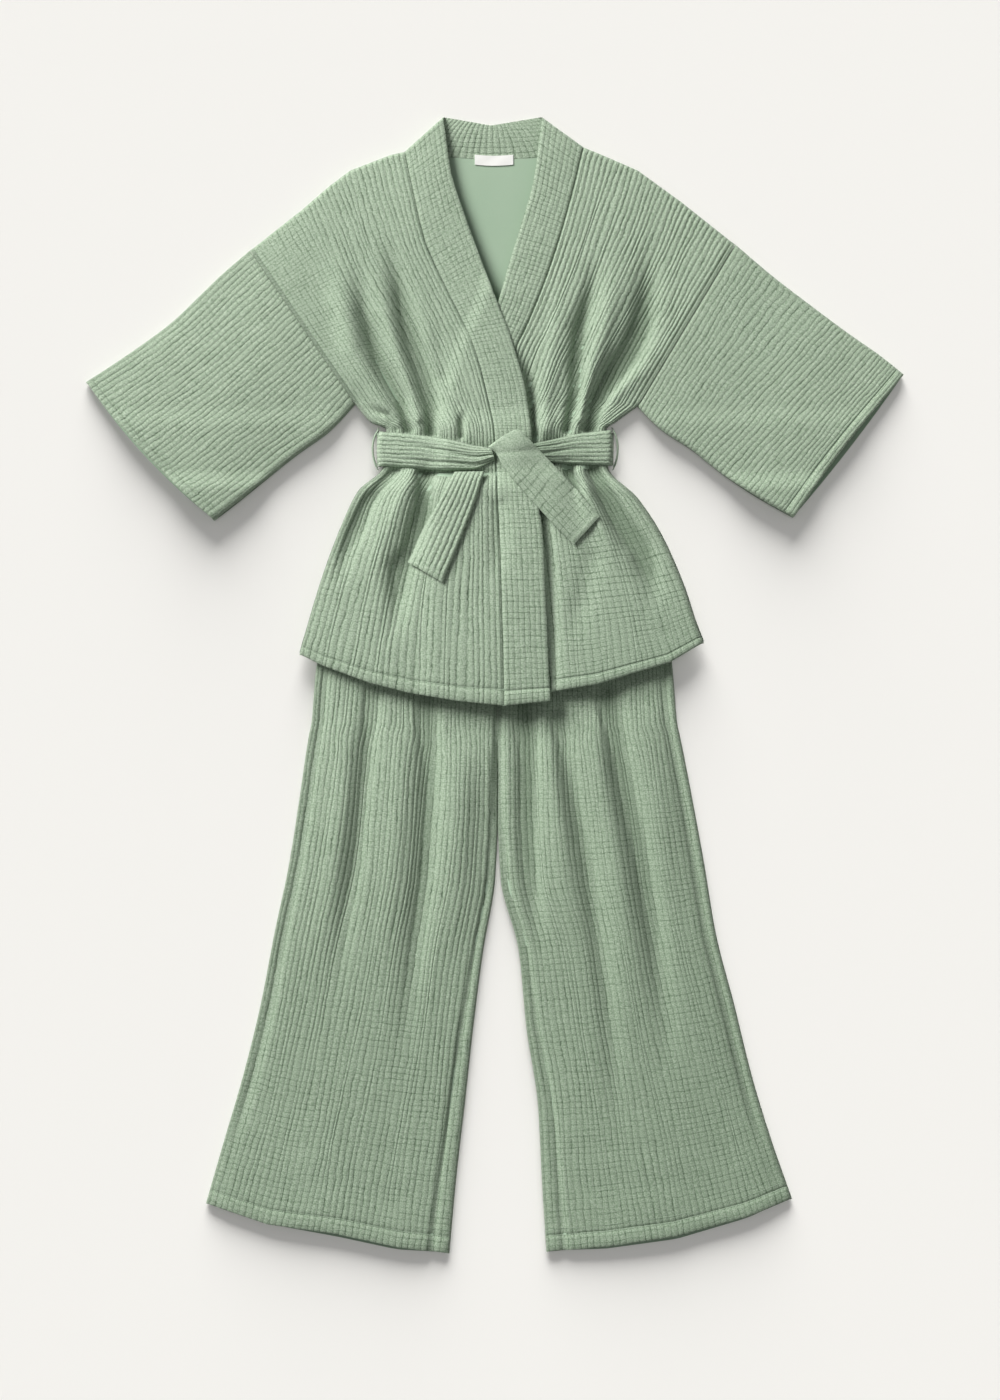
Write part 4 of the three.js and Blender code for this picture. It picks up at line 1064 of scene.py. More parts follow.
def jacket_front(which, settings):
    plan = front_plan(which)
    left = which == "left"
    wide, long = wide_of(plan, 0.2), long_of(plan)
    ribs = round(wide / settings.rib_pitch)
    crinkles = long / settings.crinkle_pitch
    grid = grid_front_left if left else grid_front_right
    place = placer(plan, JACKET_TURN, west=side_turned, north=always)
    place = wandering(place, ribs, 1.0 if left else 2.0)

    def relief(u, v, x, y):
        pressed = mix(0.5, 1, belt_free(x, y))
        height = settings.rib_height * mix(1, 0.4, grid(x, y)) * pressed * calm_hem(v * long)
        far = (1 - u) * wide_of(plan)
        arm = np.where(v > UNDERARM_ROW / (len(LEFT_ROWS) - 1), u * 220, 99.0)
        seams = seam_dip(far) + seam_dip(arm)
        return rib_relief(u * ribs, height, 1.0, x, y) + hem_dip(v * long) + seams

    us = [*BEFORE, *ribbed(ribs)]
    vs = [*hem_rows(long, settings.row_step), *AFTER]
    faces = faces_of(place, left_top if left else right_top, front_turn, CLOTH, relief,
                     scale=(ribs, crinkles))
    shade = jacket_shade if left else right_shade
    piece = panel(f"jacket_front_{which}_cloth", us, vs, faces, True, grid=grid, shade=shade)
    declare(area_of(plan) * 1.08, (wide * 1.35, long * 1.1))


def jacket_back():
    last = len(LEFT_ROWS) - 1
    middle = by_row([BACK_HEM[4], *((2, r["seam"][1]) for r in LEFT_ROWS[1:last]), NECK_SEAM[2]])
    north = {
        "left": [*SHOULDER["left"], *NECK_SEAM[1:3]],
        "right": [*NECK_SEAM[2:4], *SHOULDER["right"][::-1]],
    }
    halves = (
        outline(SIDE["left"], middle, by_length(BACK_HEM[:5]), by_length(north["left"])),
        outline(middle, SIDE["right"], by_length(BACK_HEM[4:]), by_length(north["right"])),
    )

    def plan(u, v):
        u, v = paired(u, v)
        return np.where((u < 0.5)[..., None], halves[0](np.clip(2 * u, 0, 1), v),
                        halves[1](np.clip(2 * u - 1, 0, 1), v))

    neck_from = lengths(north["left"])[5] / 2
    neck_to = 0.5 + lengths(north["right"])[2] / 2

    def shoulder_turned(u):
        return np.maximum(ease(neck_from + 0.012, neck_from - 0.012, u),
                          ease(neck_to - 0.012, neck_to + 0.012, u))

    place = placer(plan, JACKET_TURN, west=side_turned, east=side_turned, north=shoulder_turned)
    sides = [*BEFORE, *steps(90), neck_from, neck_to, *AFTER]
    us = np.unique(np.round(sides, 6))
    vs = [*steps(150), *AFTER]
    faces = faces_of(place, back_level, back_turn, CLOTH, upper=False, scale=(80, 130))
    piece = panel("jacket_back_cloth", us, vs, faces, False, thin=2)
    declare(area_of(plan) * 1.05, BACK_FLAT)


def sleeve(which, settings):
    rows = SLEEVE[which]
    lower, upper = by_row(column(rows, "lower")), by_row(column(rows, "upper"))
    ends = lower(1.0), upper(1.0)
    along = (ends[1] - ends[0]) / np.hypot(*(ends[1] - ends[0]))
    sign = 1 if which == "left" else -1
    outward = sign * np.array([-along[1], along[0]])

    def cuff(u):
        u = np.asarray(u)[..., None]
        return mix(ends[0], ends[1], u) + outward * CUFF_BOW[which] * 4 * u * (1 - u)

    start = by_length([rows[0]["lower"], rows[0]["upper"]])
    whole = outline(lower, upper, start, cuff)

    def plan(u, v):
        return whole(u, mix(0.0012, 1, np.asarray(v)))

    place = placer(plan, JACKET_TURN, west=always, east=always)
    wide, long = wide_of(plan), long_of(plan)
    along_arm = which == "left"
    ribs = round((wide if along_arm else long) / settings.rib_pitch)
    crinkles = (long if along_arm else wide) / settings.crinkle_pitch
    short = CUFF_SHORT[which] / long

    def drawn_back(u, v):
        """The upper layer's cuff stops a little before the lower one's."""
        return place(u, v * (1 - short * np.sin(np.pi * np.clip(u, 0, 1)) * ease(0.5, 1, v)))

    def drift(u, v):
        u, v = (u, v) if along_arm else (v, u)
        calm = np.clip(12 * u * (1 - u), 0, 1)
        return calm * (0.2 * waver(u * 11, v * 8, 31.0) + 0.12 * waver(u * ribs, v * 19, 32.0))

    def relief(u, v, x, y):
        r = (u if along_arm else v) * ribs + drift(u, v)
        fine = rib_relief(r, settings.rib_height * 0.36, 5.0, x, y) * calm_hem((1 - v) * long)
        return fine + hem_dip((1 - v) * long) + seam_dip(v * long, 1.2)

    def moved(u, v):
        return np.stack([drift(u, v), 0 * u] if along_arm else [0 * u, drift(u, v)], -1)

    scale = (ribs, crinkles) if along_arm else (crinkles, ribs)
    front = faces_of(drawn_back, jacket_top, JACKET_TURN, CLOTH, relief, scale=scale, moved=moved)
    back = under_faces(place, JACKET_TURN, CLOTH, scale)

    def around(over, under):
        """The tube: over the arm from -1 to 2, then back under it from 2 to 5."""
        def face(s, v):
            top, bottom = over(np.minimum(s, 2), v), under(np.clip(4 - s, -1, 2), v)
            points, uv = (np.where((s > 2)[..., None], bottom[k], top[k]) for k in (0, 1))
            return points, uv if along_arm else uv[..., ::-1]
        return face

    outer, inner = around(front[0], back[0]), around(front[1], back[1])
    fine = ribbed(ribs)
    us = [*BEFORE, *(fine if along_arm else steps(int(wide / 2.5))), *AFTER]
    hem = 1 - hem_rows(long, settings.row_step)[::-1]
    close = len(HEM_STOPS)
    vs = hem if along_arm else np.unique(np.r_[fine[fine < hem[-close]], hem[-close:]])
    below = [*(2 + ROUND), *steps(30, 3, 4)[1:], *(4 + ROUND)]
    wall = Wall()
    shown = wall.skin(us, vs, outer, True)
    plain = wall.skin(below, steps(60), outer, True)
    wall.zip(shown["east"], plain["west"])
    lining = wall.skin([*BEFORE, *steps(40), *AFTER, *below], steps(60), inner, False, 1)
    whole_rim = {k: joined(shown[k], plain[k]) for k in ("south", "north")}
    wall.rims({**whole_rim, "west": shown["west"], "east": plain["east"]}, lining)
    name = f"sleeve_{which}"
    piece = wall.build(name + "_cloth", COTTON, "crinkle_cotton", (name,), HALF_GRID)
    declare(2 * area_of(plan) * 1.06, (2 * wide * 1.1, long * 1.15))


def neckband(which, settings):
    plan = outline(BAND_SEAM[which], BAND_EDGE[which], band_end(which, 0.0), band_end(which, 1.0))
    place = placer(plan, JACKET_TURN, north=always)
    wide, long = wide_of(plan), long_of(plan)
    ribs, crinkles = round(wide / 6), long / settings.crinkle_pitch
    top = left_top if which == "left" else jacket_top

    def raised(x, y):
        return top(x, y) + BAND_CLOTH - CLOTH

    def relief(u, v, x, y):
        fine = rib_relief(u * ribs, 0.3, 8.0) + 0.25 * waver(u * 9, v * crinkles * 1.1, 8.0)
        seams = seam_dip(u * wide, 1.3, 1.6) + seam_dip((1 - u) * wide, 1.0, 1.8)
        return fine + seams + 0.6 * np.sin(np.pi * u) + hem_dip(v * long)

    us = ribbed(ribs)
    vs = [*hem_rows(long, settings.row_step * 0.8), *AFTER]
    faces = faces_of(place, raised, JACKET_TURN, BAND_CLOTH, relief, scale=(ribs, crinkles))
    piece = panel(f"neckband_{which}_cloth", us, vs, faces, True, grid=ALL_GRID)
    declare(area_of(plan) * 1.05, (wide * 1.3, long * 1.1))


def neckband_back():
    plan = outline(band_end("left", 1.0), band_end("right", 1.0),
                   by_length(NECK_SEAM), by_length(NECK_TOP))
    place = placer(plan, JACKET_TURN, west=always, east=always)
    outer, inner = under_faces(place, JACKET_TURN, CLOTH, (24, 9))

    def puckered(u, v):
        points, uv = inner(u, v)
        rise = rib_relief(np.clip(u, 0, 1) * 24, 0.5, 9.0) * np.clip(2 - np.abs(2 * u - 1), 0, 1)
        points[..., 2] += rise + 1.2 * np.sin(np.pi * v) + 0.6 * v
        return points, uv

    us = [*BEFORE, *ribbed(24), *AFTER]
    piece = panel("neckband_back_cloth", us, steps(24), (outer, puckered), False, COTTON[:1],
                  thin=1, grid=ALL_GRID)
    declare(area_of(plan) * 1.05, NECK_FLAT)


def label():
    cx, cy = LABEL["middle"]

    def place(lift):
        def face(u, v):
            x = cx + mix(-LABEL["wide"] / 2, LABEL["wide"] / 2, u)
            y = cy + mix(-LABEL["high"] / 2, LABEL["high"] / 2, v)
            y = y - LABEL["bow"] * (1 - (2 * u - 1) ** 2)
            soft = 0.25 * np.sin(u * 9 + 1) * np.sin(v * 3)
            return np.stack([x, y, CLOTH + 0.5 + lift + soft], -1), np.stack([u * 4, v], -1)
        return face

    faces = (place(LABEL["thick"]), place(0))
    piece = panel("label_cloth", steps(40), steps(10), faces, True, ("tape",), "label_tape", thin=2)
    wide, high = LABEL["wide"], LABEL["high"]
    declare(wide * high, (wide, high))


# Trousers

def leg_plan(which, hems):
    out, inn = ("out", "in") if which == "left" else ("out2", "in2")
    return outline(by_row(column(LEGS, out)), by_row(column(LEGS, inn)),
                   by_length([LEGS[0][out], LEGS[0][inn]]), by_length(hems[which]))


def seat_turned(v):
    """A leg's inner side is turned below the crotch. Above it the two fronts meet."""
    last = len(LEGS) - 1
    return ease(CROTCH_ROW / last, (CROTCH_ROW + 1) / last, v)


def leg_front(which, settings):
    plan = leg_plan(which, LEG_HEM)
    left = which == "left"
    wide, long = wide_of(plan, 0.6), long_of(plan)
    ribs = round(wide / settings.rib_pitch)
    crinkles = long / settings.crinkle_pitch
    grid = grid_leg_left if left else grid_leg_right
    place = placer(plan, TROUSER_TURN, west=always, east=seat_turned)
    place = wandering(place, ribs, 11.0 if left else 12.0)
    width_low, width_high = wide_of(plan, 0.4), wide_of(plan, 0.9)

    def relief(u, v, x, y):
        shown = ease(0, 25, hem_height(x) + 6 - y)
        low = ease(-480, -700, y)
        height = 0.7 * settings.rib_height * mix(1, 0.4, grid(x, y)) * calm_hem((1 - v) * long)
        width = mix(width_low, width_high, v)
        outer = seam_dip(u * width - SIDE_LINE, 0.9, 1.4) * ease(0.25, 0.4, v)
        line, legs = mix(3, INNER_LINE, ease(0.45, 1.1, v)), ease(0.42, 0.5, v)
        inner = seam_dip((1 - u) * width - line, 1.5, 2.2) * legs
        waves = 0.4 * np.sin(y / 8.5 + 2 * waver(x / 55, y / 80, 6.0)) * low
        waves = waves * np.clip(4 * u * (1 - u), 0, 1)
        puckers = 0.45 * np.sin(y / 7 + x / 5) * bell((1 - u) * width - 7, 5) * legs
        ribbing = rib_relief(u * ribs, height, 11.0, x, y) * shown
        return ribbing + hem_dip((1 - v) * long) + outer + inner + waves + puckers

    us = [*BEFORE, *ribbed(ribs), *AFTER]
    vs = 1 - hem_rows(long, settings.row_step)[::-1]
    faces = faces_of(place, trouser_top, TROUSER_TURN, CLOTH, relief, scale=(ribs, crinkles))
    piece = panel(f"trousers_front_{which}_cloth", us, vs, faces, True, grid=grid, shade=leg_shade)
    declare(area_of(plan) * 1.06, (wide * 1.35, long * 1.05))


def leg_back(which):
    plan = leg_plan(which, LEG_HEM_BACK)
    place = placer(plan, TROUSER_TURN, west=always, east=seat_turned)
    faces = under_faces(place, TROUSER_TURN, CLOTH, (38, 170))
    us = [*BEFORE, *steps(60), *AFTER]
    piece = panel(f"trousers_back_{which}_cloth", us, steps(170), faces, False, thin=3)
    declare(area_of(plan) * 1.04, (wide_of(plan, 0.6) * 1.35, long_of(plan) * 1.05))


def waistband():
    """A flat ring of cloth: along the top, round one side, back underneath, and up again."""
    height = 2 * TROUSER_TURN + SEAM + PRESSED_CROWN
    turn, mid = TROUSER_TURN, height / 2

    def ring(wall):
        def face(u, v):
            y = mix(WAIST_LOW + SEAM, WAIST_TOP, v)
            up = (y - WAIST_LOW) / (WAIST_TOP - WAIST_LOW)
            x0, x1 = (mix(LEGS[0][side][0], WAIST_ENDS[side], up) for side in ("out", "out2"))
            flat, bend = (x1 - x0) - 2 * turn, np.pi * turn
            s = (u % 1) * 2 * (flat + bend)
            where = [s < flat, s < flat + bend, s < 2 * flat + bend]
            a, b = (s - flat) / turn, (s - 2 * flat - bend) / turn
            x = np.select(where, [x0 + turn + s, x1 - turn + (turn - wall) * np.sin(a),
                                  x1 - turn - (s - flat - bend)], x0 + turn - (turn - wall) * np.sin(b))
            z = np.select(where, [height - wall + 0 * s, mid + (mid - wall) * np.cos(a),
                                  wall + 0 * s], mid - (mid - wall) * np.cos(b))
            return np.stack([x, y, z], -1), np.stack([u * 100, v * 6], -1)
        return face

    def closed(line):
        return np.append(line[0], line[0][0]), np.append(line[1], 1.0)

    wall = Wall()
    us, vs = steps(160)[:-1], steps(6)
    outer = wall.skin(us, vs, ring(0), True)
    inner = wall.skin(us, vs, ring(CLOTH), False, 1)
    wall.zip(outer["east"], outer["west"], 0)
    wall.zip(inner["west"], inner["east"], 1)
    wall.zip(closed(outer["south"]), closed(inner["south"]))
    wall.zip(reverse(closed(outer["north"])), reverse(closed(inner["north"])))
    piece = wall.build("waistband_cloth", COTTON, "crinkle_cotton", ("waistband",))
    declare(WAIST_AREA, WAIST_FLAT)


# Sash

def lifted(face, extra):
    """The same face raised, with its ribs along the sash."""
    def raised(u, v):
        points, uv = face(u, v)
        points[..., 2] += extra(u, v)
        return points, uv[..., ::-1]
    return raised


def sash_stretch(which):
    rows, end, creases = SASH_ROWS[which], SASH_END[which], SASH_CREASES[which]
    high, low = by_row(column(rows, "high")), by_row(column(rows, "low"))

    def plan(u, v):
        u, v = paired(u, v)
        a, b = low(u), high(u)
        start = end - mix(low(0.0)[0], high(0.0)[0], v)
        bulge = start * np.exp(-u * 30) * np.sqrt(np.sin(np.pi * np.clip(v * 0.9 + 0.05, 0, 1)))
        return mix(a, b, v[..., None]) + np.stack([bulge, 0 * bulge], -1)

    def top(x, y):
        return cover_top(x, y) + SASH_GAP + SASH_CLOTH

    # painted shade on the stretch beside the knot
    def dark(x, y):
        return ease(155, 45, x) * (x > 30) * SASH_PAINTED_SHADE[which]

    def belly(u, v):
        """The sash is a soft tube that stands off the cloth, more so towards the knot."""
        return mix(2.5, 5.5, ease(0, 1, u)) * (1 - (2 * v - 1) ** 4) * ease(-1, 0, u)

    def relief(u, v, x, y):
        drift = 0.5 * waver(u * 4, v * 3, 6.0) * np.sin(np.pi * v)
        total = rib_relief(v * SASH_RIBS + drift, 0.7, 15.0, x, y)
        total = total + seam_dip(np.minimum(v, 1 - v) * SASH_WIDE, 1.4, 2.4)
        for row in creases:
            line = mix(row["from"], row["to"], u) + 0.02 * np.sin(9 * u + 7 * row["from"])
            total = total - row["depth"] * ease(-0.1, 0.7, u) * bell(v - line, 0.07)
        return total

    place = placer(plan, SASH_TURN, west=always)
    faces = faces_of(place, top, SASH_TURN, SASH_CLOTH, relief, scale=(26, SASH_RIBS))
    piece = panel(f"sash_{which}_cloth", [*BEFORE, *steps(110)], ribbed(SASH_RIBS, SASH_STOPS),
                  [lifted(face, belly) for face in faces], True, COTTON[:1], shade=dark)
    long = abs(rows[0]["high"][0] - rows[-1]["high"][0]) + 12
    declare(SASH_WIDE * long * 0.95, (SASH_WIDE, long))


def sash_back():
    low, high = SASH_END["left"], SASH_END["right"]

    def plan(u, v):
        u, v = paired(u, v)
        return np.stack([mix(low, high, u), mix(BELT_LOW + 2, BELT_HIGH - 3, v)], -1)

    place = placer(plan, SASH_TURN, west=always, east=always)
    faces = under_faces(place, SASH_TURN, SASH_CLOTH, (55, 7))
    us = [*BEFORE, *steps(50), *AFTER]
    piece = panel("sash_back_cloth", us, steps(12), faces, False, COTTON[:1], thin=2)
    declare(42 * (high - low + 18), (SASH_WIDE, high - low + 20))


def knot_plain(x, y):
    """The wrap over the knot and the end's hem are smooth."""
    end = distance(x, y, [KNOT_ROWS[-1]["high"], KNOT_ROWS[-1]["low"]])
    return np.maximum(0.9 * ease(270, 300, y), 0.8 * ease(16, 5, end))


def spanned(x, y):
    """The level of what lies under a loose end, which bridges its small folds."""
    near = (-SPAN, 0, SPAN)
    under = np.array([cover_top(x + a, y + b) for a in near for b in near])
    return SPAN_SOFT * np.log(np.mean(np.exp(under / SPAN_SOFT), axis=0))


def loose_end(name, rows, raise_by, knot):
    high, low = by_row(column(rows, "high")), by_row(column(rows, "low"))

    def plan(u, v):
        u, v = paired(u, v)
        return mix(low(1 - v), high(1 - v), u[..., None])

    place = placer(plan, KNOT_TURN, north=always if knot else None)
    long, ribs = long_of(plan), 8 if knot else 7

    def top(x, y):
        return spanned(x, y) + TAIL_GAP + SASH_CLOTH + raise_by(x, y)

    def relief(u, v, x, y):
        fine = rib_relief(u * ribs, 0.25 if knot else 0.8, 19.0) * ease(4, 12, v * long)
        edge = np.minimum(np.minimum(u, 1 - u) * SASH_WIDE, v * long)
        ends = seam_dip(edge, 1.4, 2.0) + seam_dip(v * long - 7, 0.5, 1.2)
        return fine + ends + 0.8 * np.sin(np.pi * u)

    faces = faces_of(place, top, KNOT_TURN, SASH_CLOTH, relief, scale=(ribs, long / 5.5))
    vs = [*steps(int(long / 1.6)), *(AFTER if knot else [])]
    fields = {"grid": ALL_GRID, "plain": knot_plain} if knot else {}
    piece = panel(f"{name}_cloth", ribbed(ribs, SASH_STOPS), vs, faces, True, COTTON[:1], **fields)
    declare(area_of(plan) * 1.03, (SASH_WIDE * 1.1, long * 1.1))


def knot_raise(x, y):
    """The wrap clears the sash and arches over the knot under it."""
    far = np.hypot(x - KNOT_MIDDLE[0], y - KNOT_MIDDLE[1])
    return KNOT_RISE * ease(245, 300, y) + KNOT_ARCH * bell(far, 30)


# Sewing

HEM_SECOND = 6                 # between the trouser hem's two rows of topstitching
BAND_STITCH = 2.6              # from the neckband's seam to its topstitching
THREAD_RADIUS = 0.3
LOOP_RADIUS = 1.5
LOOP_OUT = 5.5                 # how far a thread loop stands out from the sash's end


def on_face(place, level, u, v, lift=0.15):
    x, y = place(u, v)[:2]
    return np.stack([x, y, level(x, y) + lift], -1)


def stitch_lines():
    """The lines that topstitching follows, as chains of points on the cloth."""
    lines = []
    across = steps(260, 0.01, 0.99)
    for which in SIDES:
        level = left_top if which == "left" else jacket_top
        plan = front_plan(which)
        place = placer(plan, JACKET_TURN, west=side_turned, north=always)
        at = HEM_DEPTH / long_of(plan)
        lines.append(on_face(place, level, across, np.full_like(across, at)))
        down = steps(600, 0.002, 0.998)
        beside = 1 - BAND_STITCH / wide_of(plan, 0.3)
        lines.append(on_face(place, level, np.full_like(down, beside), down))
        plan = leg_plan(which, LEG_HEM)
        place = placer(plan, TROUSER_TURN, west=always, east=seat_turned)
        for depth in (HEM_DEPTH, HEM_DEPTH + HEM_SECOND):
            at = 1 - depth / long_of(plan)
            lines.append(on_face(place, trouser_top, across, np.full_like(across, at)))
    return lines


def stitch_group(thread):
    """Geometry Nodes: a stitch on every point of the lines, turned along them."""
    group = bpy.data.node_groups.new("topstitching", "GeometryNodeTree")
    new_socket = group.interface.new_socket
    new_socket("Geometry", in_out="INPUT", socket_type="NodeSocketGeometry")
    inputs = {name: new_socket(name, in_out="INPUT", socket_type="NodeSocketFloat").identifier
              for name in ("Spacing", "Stitch Length", "Thread Radius")}
    new_socket("Geometry", in_out="OUTPUT", socket_type="NodeSocketGeometry")
    kinds = {
        "source": "NodeGroupInput", "sink": "NodeGroupOutput", "curve": "GeometryNodeMeshToCurve",
        "spaced": "GeometryNodeResampleCurve", "turn": "FunctionNodeAlignRotationToVector",
        "stitch": "GeometryNodeMeshCylinder", "points": "GeometryNodeCurveToPoints",
        "place": "GeometryNodeInstanceOnPoints", "real": "GeometryNodeRealizeInstances",
        "paint": "GeometryNodeSetMaterial",
    }
    node = {name: group.nodes.new(kind) for name, kind in kinds.items()}
    node["spaced"].mode, node["points"].mode, node["turn"].axis = "LENGTH", "EVALUATED", "Z"
    node["stitch"].inputs["Vertices"].default_value = 5
    node["paint"].inputs["Material"].default_value = thread
    for start, out, end, into in (
            ("source", "Geometry", "curve", "Mesh"), ("curve", "Curve", "spaced", "Curve"),
            ("source", "Spacing", "spaced", "Length"), ("spaced", "Curve", "points", "Curve"),
            ("points", "Points", "place", "Points"), ("points", "Tangent", "turn", "Vector"),
            ("turn", "Rotation", "place", "Rotation"), ("source", "Stitch Length", "stitch", "Depth"),
            ("source", "Thread Radius", "stitch", "Radius"), ("stitch", "Mesh", "place", "Instance"),
            ("place", "Instances", "real", "Geometry"), ("real", "Geometry", "paint", "Geometry"),
            ("paint", "Geometry", "sink", "Geometry")):
        group.links.new(node[start].outputs[out], node[end].inputs[into])
    return group, inputs


def topstitching(settings):
    points, edges = [], []
    for line in stitch_lines():
        start = len(points)
        points.extend(((line + SHIFT) * MM).tolist())
        edges.extend((start + i, start + i + 1) for i in range(len(line) - 1))
    guide = bpy.data.meshes.new("stitch_guide")
    guide.from_pydata(points, edges, [])
    holder = bpy.data.objects.new("stitch_guide", guide)
    bpy.context.scene.collection.objects.link(holder)
    group, inputs = stitch_group(material("thread"))
    modifier = holder.modifiers.new("topstitching", "NODES")
    modifier.node_group = group
    for key, size in (("Spacing", settings.stitch_step), ("Stitch Length", settings.stitch_step * 0.75),
                      ("Thread Radius", THREAD_RADIUS)):
        modifier[inputs[key]] = size * MM
    bpy.context.view_layer.update()
    evaluated = holder.evaluated_get(bpy.context.evaluated_depsgraph_get())
    mesh = bpy.data.meshes.new_from_object(evaluated)
    bpy.data.objects.remove(holder)
    mesh.materials.clear()
    mesh.materials.append(material("thread"))
    settle("topstitching", mesh)


def thread_loop(which):
    """A loop of twisted thread that stands out round the sash's end."""
    sign = -1 if which == "left" else 1
    side = x_at(column(ROWS[which], "side"))
    count = 60
    t = steps(count, -1, 1)
    lean = np.maximum(np.cos(t * np.pi / 2), 0)
    y = (BELT_LOW + BELT_HIGH) / 2 + t * 27.5
    x = mix(side(y) + sign * 1.7, SASH_END[which] + sign * LOOP_OUT, lean**0.4)
    z = mix(SASH_LIFT + BELT_TURN, SASH_TURN, lean)
    path = np.stack([x, y, z], -1)
    tangent = np.gradient(path, axis=0)
    tangent /= np.linalg.norm(tangent, axis=1, keepdims=True)
    side_way = np.cross(tangent, [0, 0, 1])
    side_way /= np.linalg.norm(side_way, axis=1, keepdims=True)
    up = np.cross(side_way, tangent)

    def face(u, v):
        i = np.round(v * count).astype(int)
        a = 2 * np.pi * u
        twist = 0.85 + 0.12 * np.cos(a * 3 + v * 90)
        radius = LOOP_RADIUS * twist * mix(0.45, 1, ease(0, 0.12, np.minimum(v, 1 - v)))
        round_it = np.cos(a)[..., None] * side_way[i] + np.sin(a)[..., None] * up[i]
        return path[i] + radius[..., None] * round_it, np.stack([u, v * 20], -1)

    wall = Wall()
    tube = wall.skin(steps(10)[:-1], steps(count), face, True)
    wall.zip(tube["east"], tube["west"])
    wall.faces += [tube["south"][0][::-1].tolist(), tube["north"][0].tolist()]
    wall.kinds += [0, 0]
    wall.build(f"belt_loop_{which}_thread", ("thread",), "thread", (f"belt_loop_{which}",))


# Stage

FLOOR_HALF = 4.0               # metres
FLOOR_GAP = 0.0006
CAMERA_FAR = 4.0
SENSOR = 36


def lights(settings):
    """Name, strength, softness, direction, and whether it lights the floor or all else."""
    return (("cloth_light", settings.cloth_light, 0.5, (1.0, -1.0, -0.85), False),
            ("shadow_light", settings.shadow_light, 0.8, (0.1, -1.0, -0.2), True),
            ("floor_light", settings.floor_light, 0.3, (0.0, 0.0, -1.0), True))


def stage(settings):
    floor = bpy.data.meshes.new("floor")
    corners = [(a * FLOOR_HALF, b * FLOOR_HALF, -FLOOR_GAP)
               for a, b in ((-1, -1), (1, -1), (1, 1), (-1, 1))]
    floor.from_pydata(corners, [], [(0, 1, 2, 3)])
    floor.materials.append(pale_floor())
    ground = bpy.data.objects.new("floor", floor)
    bpy.context.scene.collection.objects.link(ground)

    world = bpy.data.worlds.new("studio")
    world.use_nodes = True
    sky = world.node_tree.nodes["Background"].inputs
    sky["Color"].default_value, sky["Strength"].default_value = (1, 1, 1, 1), settings.fill_light
    bpy.context.scene.world = world
    bpy.context.scene.view_settings.view_transform = "Standard"
    for name, energy, angle, way, on_floor in lights(settings):
        lamp = bpy.data.lights.new(name, "SUN")
        lamp.energy, lamp.angle = energy, angle
        lamp.color = (1.0, 0.99, 0.97)
        light = bpy.data.objects.new(name, lamp)
        light.rotation_euler = Vector(way).to_track_quat("-Z", "Y").to_euler()
        bpy.context.scene.collection.objects.link(light)
        lit = bpy.data.collections.new(name + "_receivers")
        lit.objects.link(ground)
        lit.collection_objects[0].light_linking.link_state = "INCLUDE" if on_floor else "EXCLUDE"
        light.light_linking.receiver_collection = lit

    lens = bpy.data.cameras.new("camera")
    lens.sensor_width = SENSOR
    lens.lens = SENSOR * CAMERA_FAR / (PICTURE[1] * PIXEL * MM)
    camera = bpy.data.objects.new("camera", lens)
    x = (PICTURE[0] / 2 - PICTURE_ORIGIN[0]) * PIXEL + SHIFT[0]
    y = (PICTURE_ORIGIN[1] - PICTURE[1] / 2) * PIXEL + SHIFT[1]
    camera.location = (x * MM, y * MM, CAMERA_FAR)
    bpy.context.scene.collection.objects.link(camera)
    bpy.context.scene.camera = camera


# The add-on: settings, one operator for each group of pieces, and a panel

class KimonoSettings(bpy.types.PropertyGroup):
    """Sizes of the cloth and its light"""

    rib_pitch: bpy.props.FloatProperty(
        name="Rib Pitch", description="Width of one rib of the cloth, in mm",
        default=7.0, min=3.0, max=20.0)
    rib_height: bpy.props.FloatProperty(
        name="Rib Height", description="Rise of a rib over its groove, in mm",
        default=0.75, min=0.0, max=2.0)
    crinkle_pitch: bpy.props.FloatProperty(
        name="Crinkle Pitch", description="Length of one crinkle along a rib, in mm",
        default=5.6, min=2.0, max=20.0)
    row_step: bpy.props.FloatProperty(
        name="Row Step", description="Space between mesh rows, in mm",
        default=2.8, min=1.0, max=10.0)
    stitch_step: bpy.props.FloatProperty(
        name="Stitch Step", description="Length of one stitch with its gap, in mm",
        default=3.2, min=1.0, max=8.0)
    cloth_light: bpy.props.FloatProperty(
        name="Cloth Light", description="Strength of the light on the cloth, from the upper left",
        default=4.85, min=0.0, max=20.0)
    shadow_light: bpy.props.FloatProperty(
        name="Shadow Light", description="Strength of the low light that gives the floor its shadow",
        default=9.4, min=0.0, max=20.0)
    floor_light: bpy.props.FloatProperty(
        name="Floor Light", description="Strength of the light straight down on the floor",
        default=0.42, min=0.0, max=20.0)
    fill_light: bpy.props.FloatProperty(
        name="Fill Light", description="Strength of the light from all round",
        default=0.26, min=0.0, max=5.0)


class BuildOperator:
    """What the operators share"""

    bl_options = {"REGISTER", "UNDO"}

    def execute(self, context):
        self.make(context.scene.kimono)
        return {"FINISHED"}


class KIMONO_OT_jacket(BuildOperator, bpy.types.Operator):
    """Builds the jacket's fronts, back and sleeves"""

    bl_idname = "kimono.jacket"
    bl_label = "Build Jacket"

    def make(self, settings):
        jacket_back()
        for which in SIDES:
            jacket_front(which, settings)
            sleeve(which, settings)


class KIMONO_OT_neckband(BuildOperator, bpy.types.Operator):
    """Builds the neckband and the label"""

    bl_idname = "kimono.neckband"
    bl_label = "Build Neckband"

    def make(self, settings):
        for which in SIDES:
            neckband(which, settings)
        neckband_back()
        label()


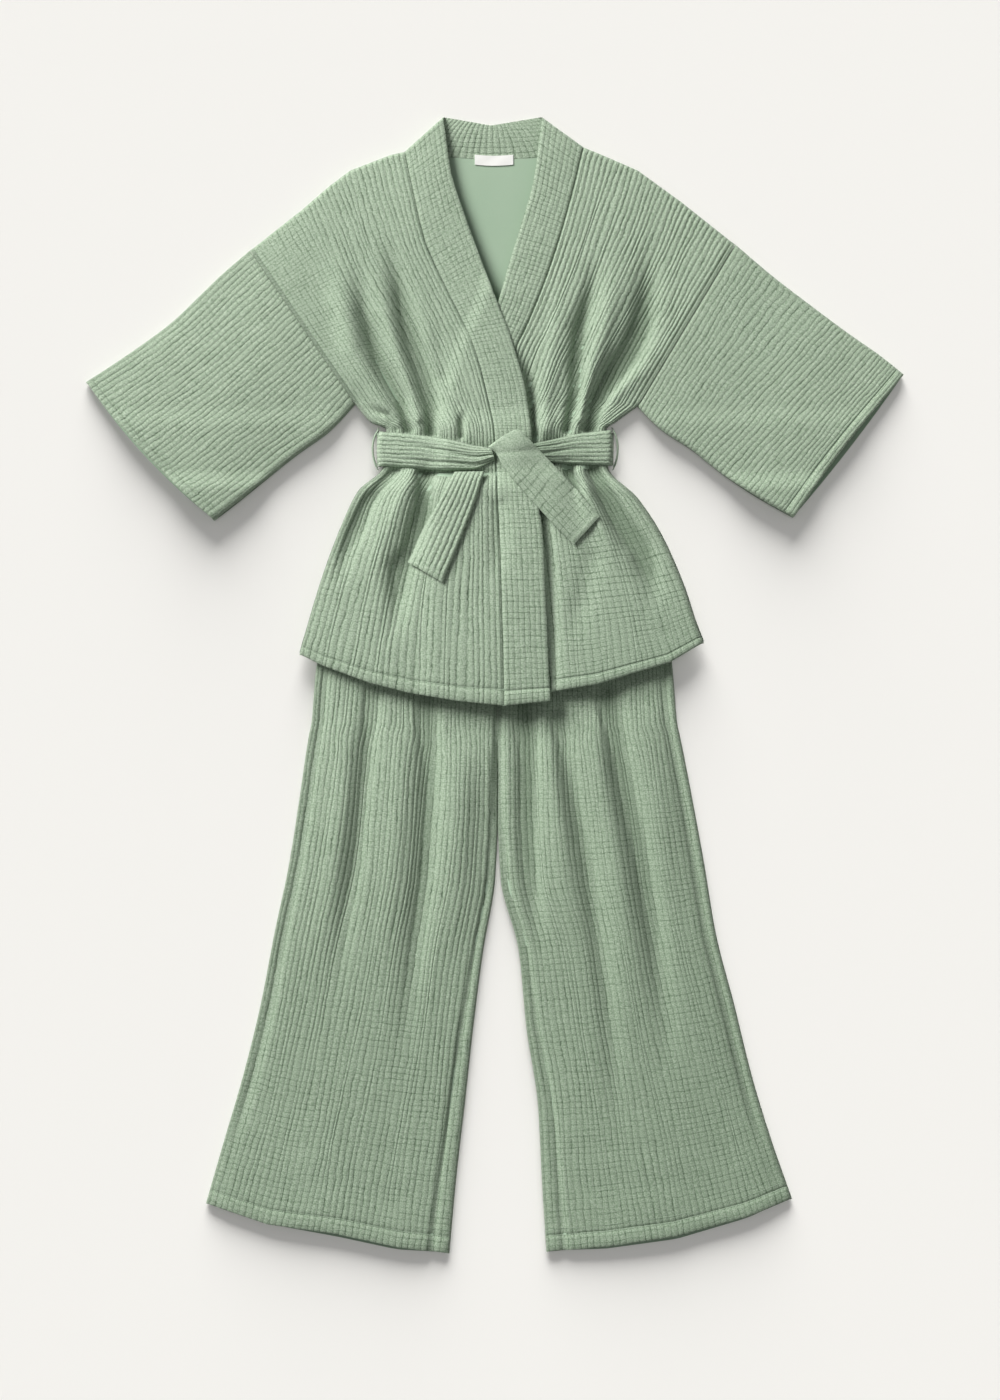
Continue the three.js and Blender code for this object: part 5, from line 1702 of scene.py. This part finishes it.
class KIMONO_OT_trousers(BuildOperator, bpy.types.Operator):
    """Builds the trousers' legs and waistband"""

    bl_idname = "kimono.trousers"
    bl_label = "Build Trousers"

    def make(self, settings):
        for which in SIDES:
            leg_back(which)
            leg_front(which, settings)
        waistband()


class KIMONO_OT_sash(BuildOperator, bpy.types.Operator):
    """Builds the sash, its knot and its loose ends"""

    bl_idname = "kimono.sash"
    bl_label = "Build Sash"

    def make(self, settings):
        sash_back()
        for which in SIDES:
            sash_stretch(which)
        loose_end("sash_knot_end", KNOT_ROWS, knot_raise, True)
        loose_end("sash_left_end", TAIL_ROWS, zero, False)


class KIMONO_OT_sewing(BuildOperator, bpy.types.Operator):
    """Builds the topstitching and the thread loops"""

    bl_idname = "kimono.sewing"
    bl_label = "Build Sewing"

    def make(self, settings):
        topstitching(settings)
        for which in SIDES:
            thread_loop(which)


class KIMONO_OT_stage(BuildOperator, bpy.types.Operator):
    """Sets up the floor, the lights and the camera"""

    bl_idname = "kimono.stage"
    bl_label = "Set Up Stage"

    def make(self, settings):
        stage(settings)


class KIMONO_PT_sidebar(bpy.types.Panel):
    """Buttons and settings in the sidebar"""

    bl_idname = "KIMONO_PT_sidebar"
    bl_label = "Kimono Pajama Set"
    bl_space_type = "VIEW_3D"
    bl_region_type = "UI"
    bl_category = "Pajamas"

    def draw(self, context):
        for key in KimonoSettings.__annotations__:
            self.layout.prop(context.scene.kimono, key)
        for operator in OPERATORS:
            self.layout.operator(operator.bl_idname)


OPERATORS = (KIMONO_OT_stage, KIMONO_OT_jacket, KIMONO_OT_neckband, KIMONO_OT_trousers,
             KIMONO_OT_sash, KIMONO_OT_sewing)
CLASSES = (KimonoSettings, *OPERATORS, KIMONO_PT_sidebar)


def register():
    for each in CLASSES:
        bpy.utils.register_class(each)
    bpy.types.Scene.kimono = bpy.props.PointerProperty(type=KimonoSettings)


def unregister():
    del bpy.types.Scene.kimono
    for each in reversed(CLASSES):
        bpy.utils.unregister_class(each)


def main():
    register()
    bpy.ops.kimono.stage()
    bpy.ops.kimono.jacket()
    bpy.ops.kimono.neckband()
    bpy.ops.kimono.trousers()
    bpy.ops.kimono.sash()
    bpy.ops.kimono.sewing()


if __name__ == "__main__":
    main()
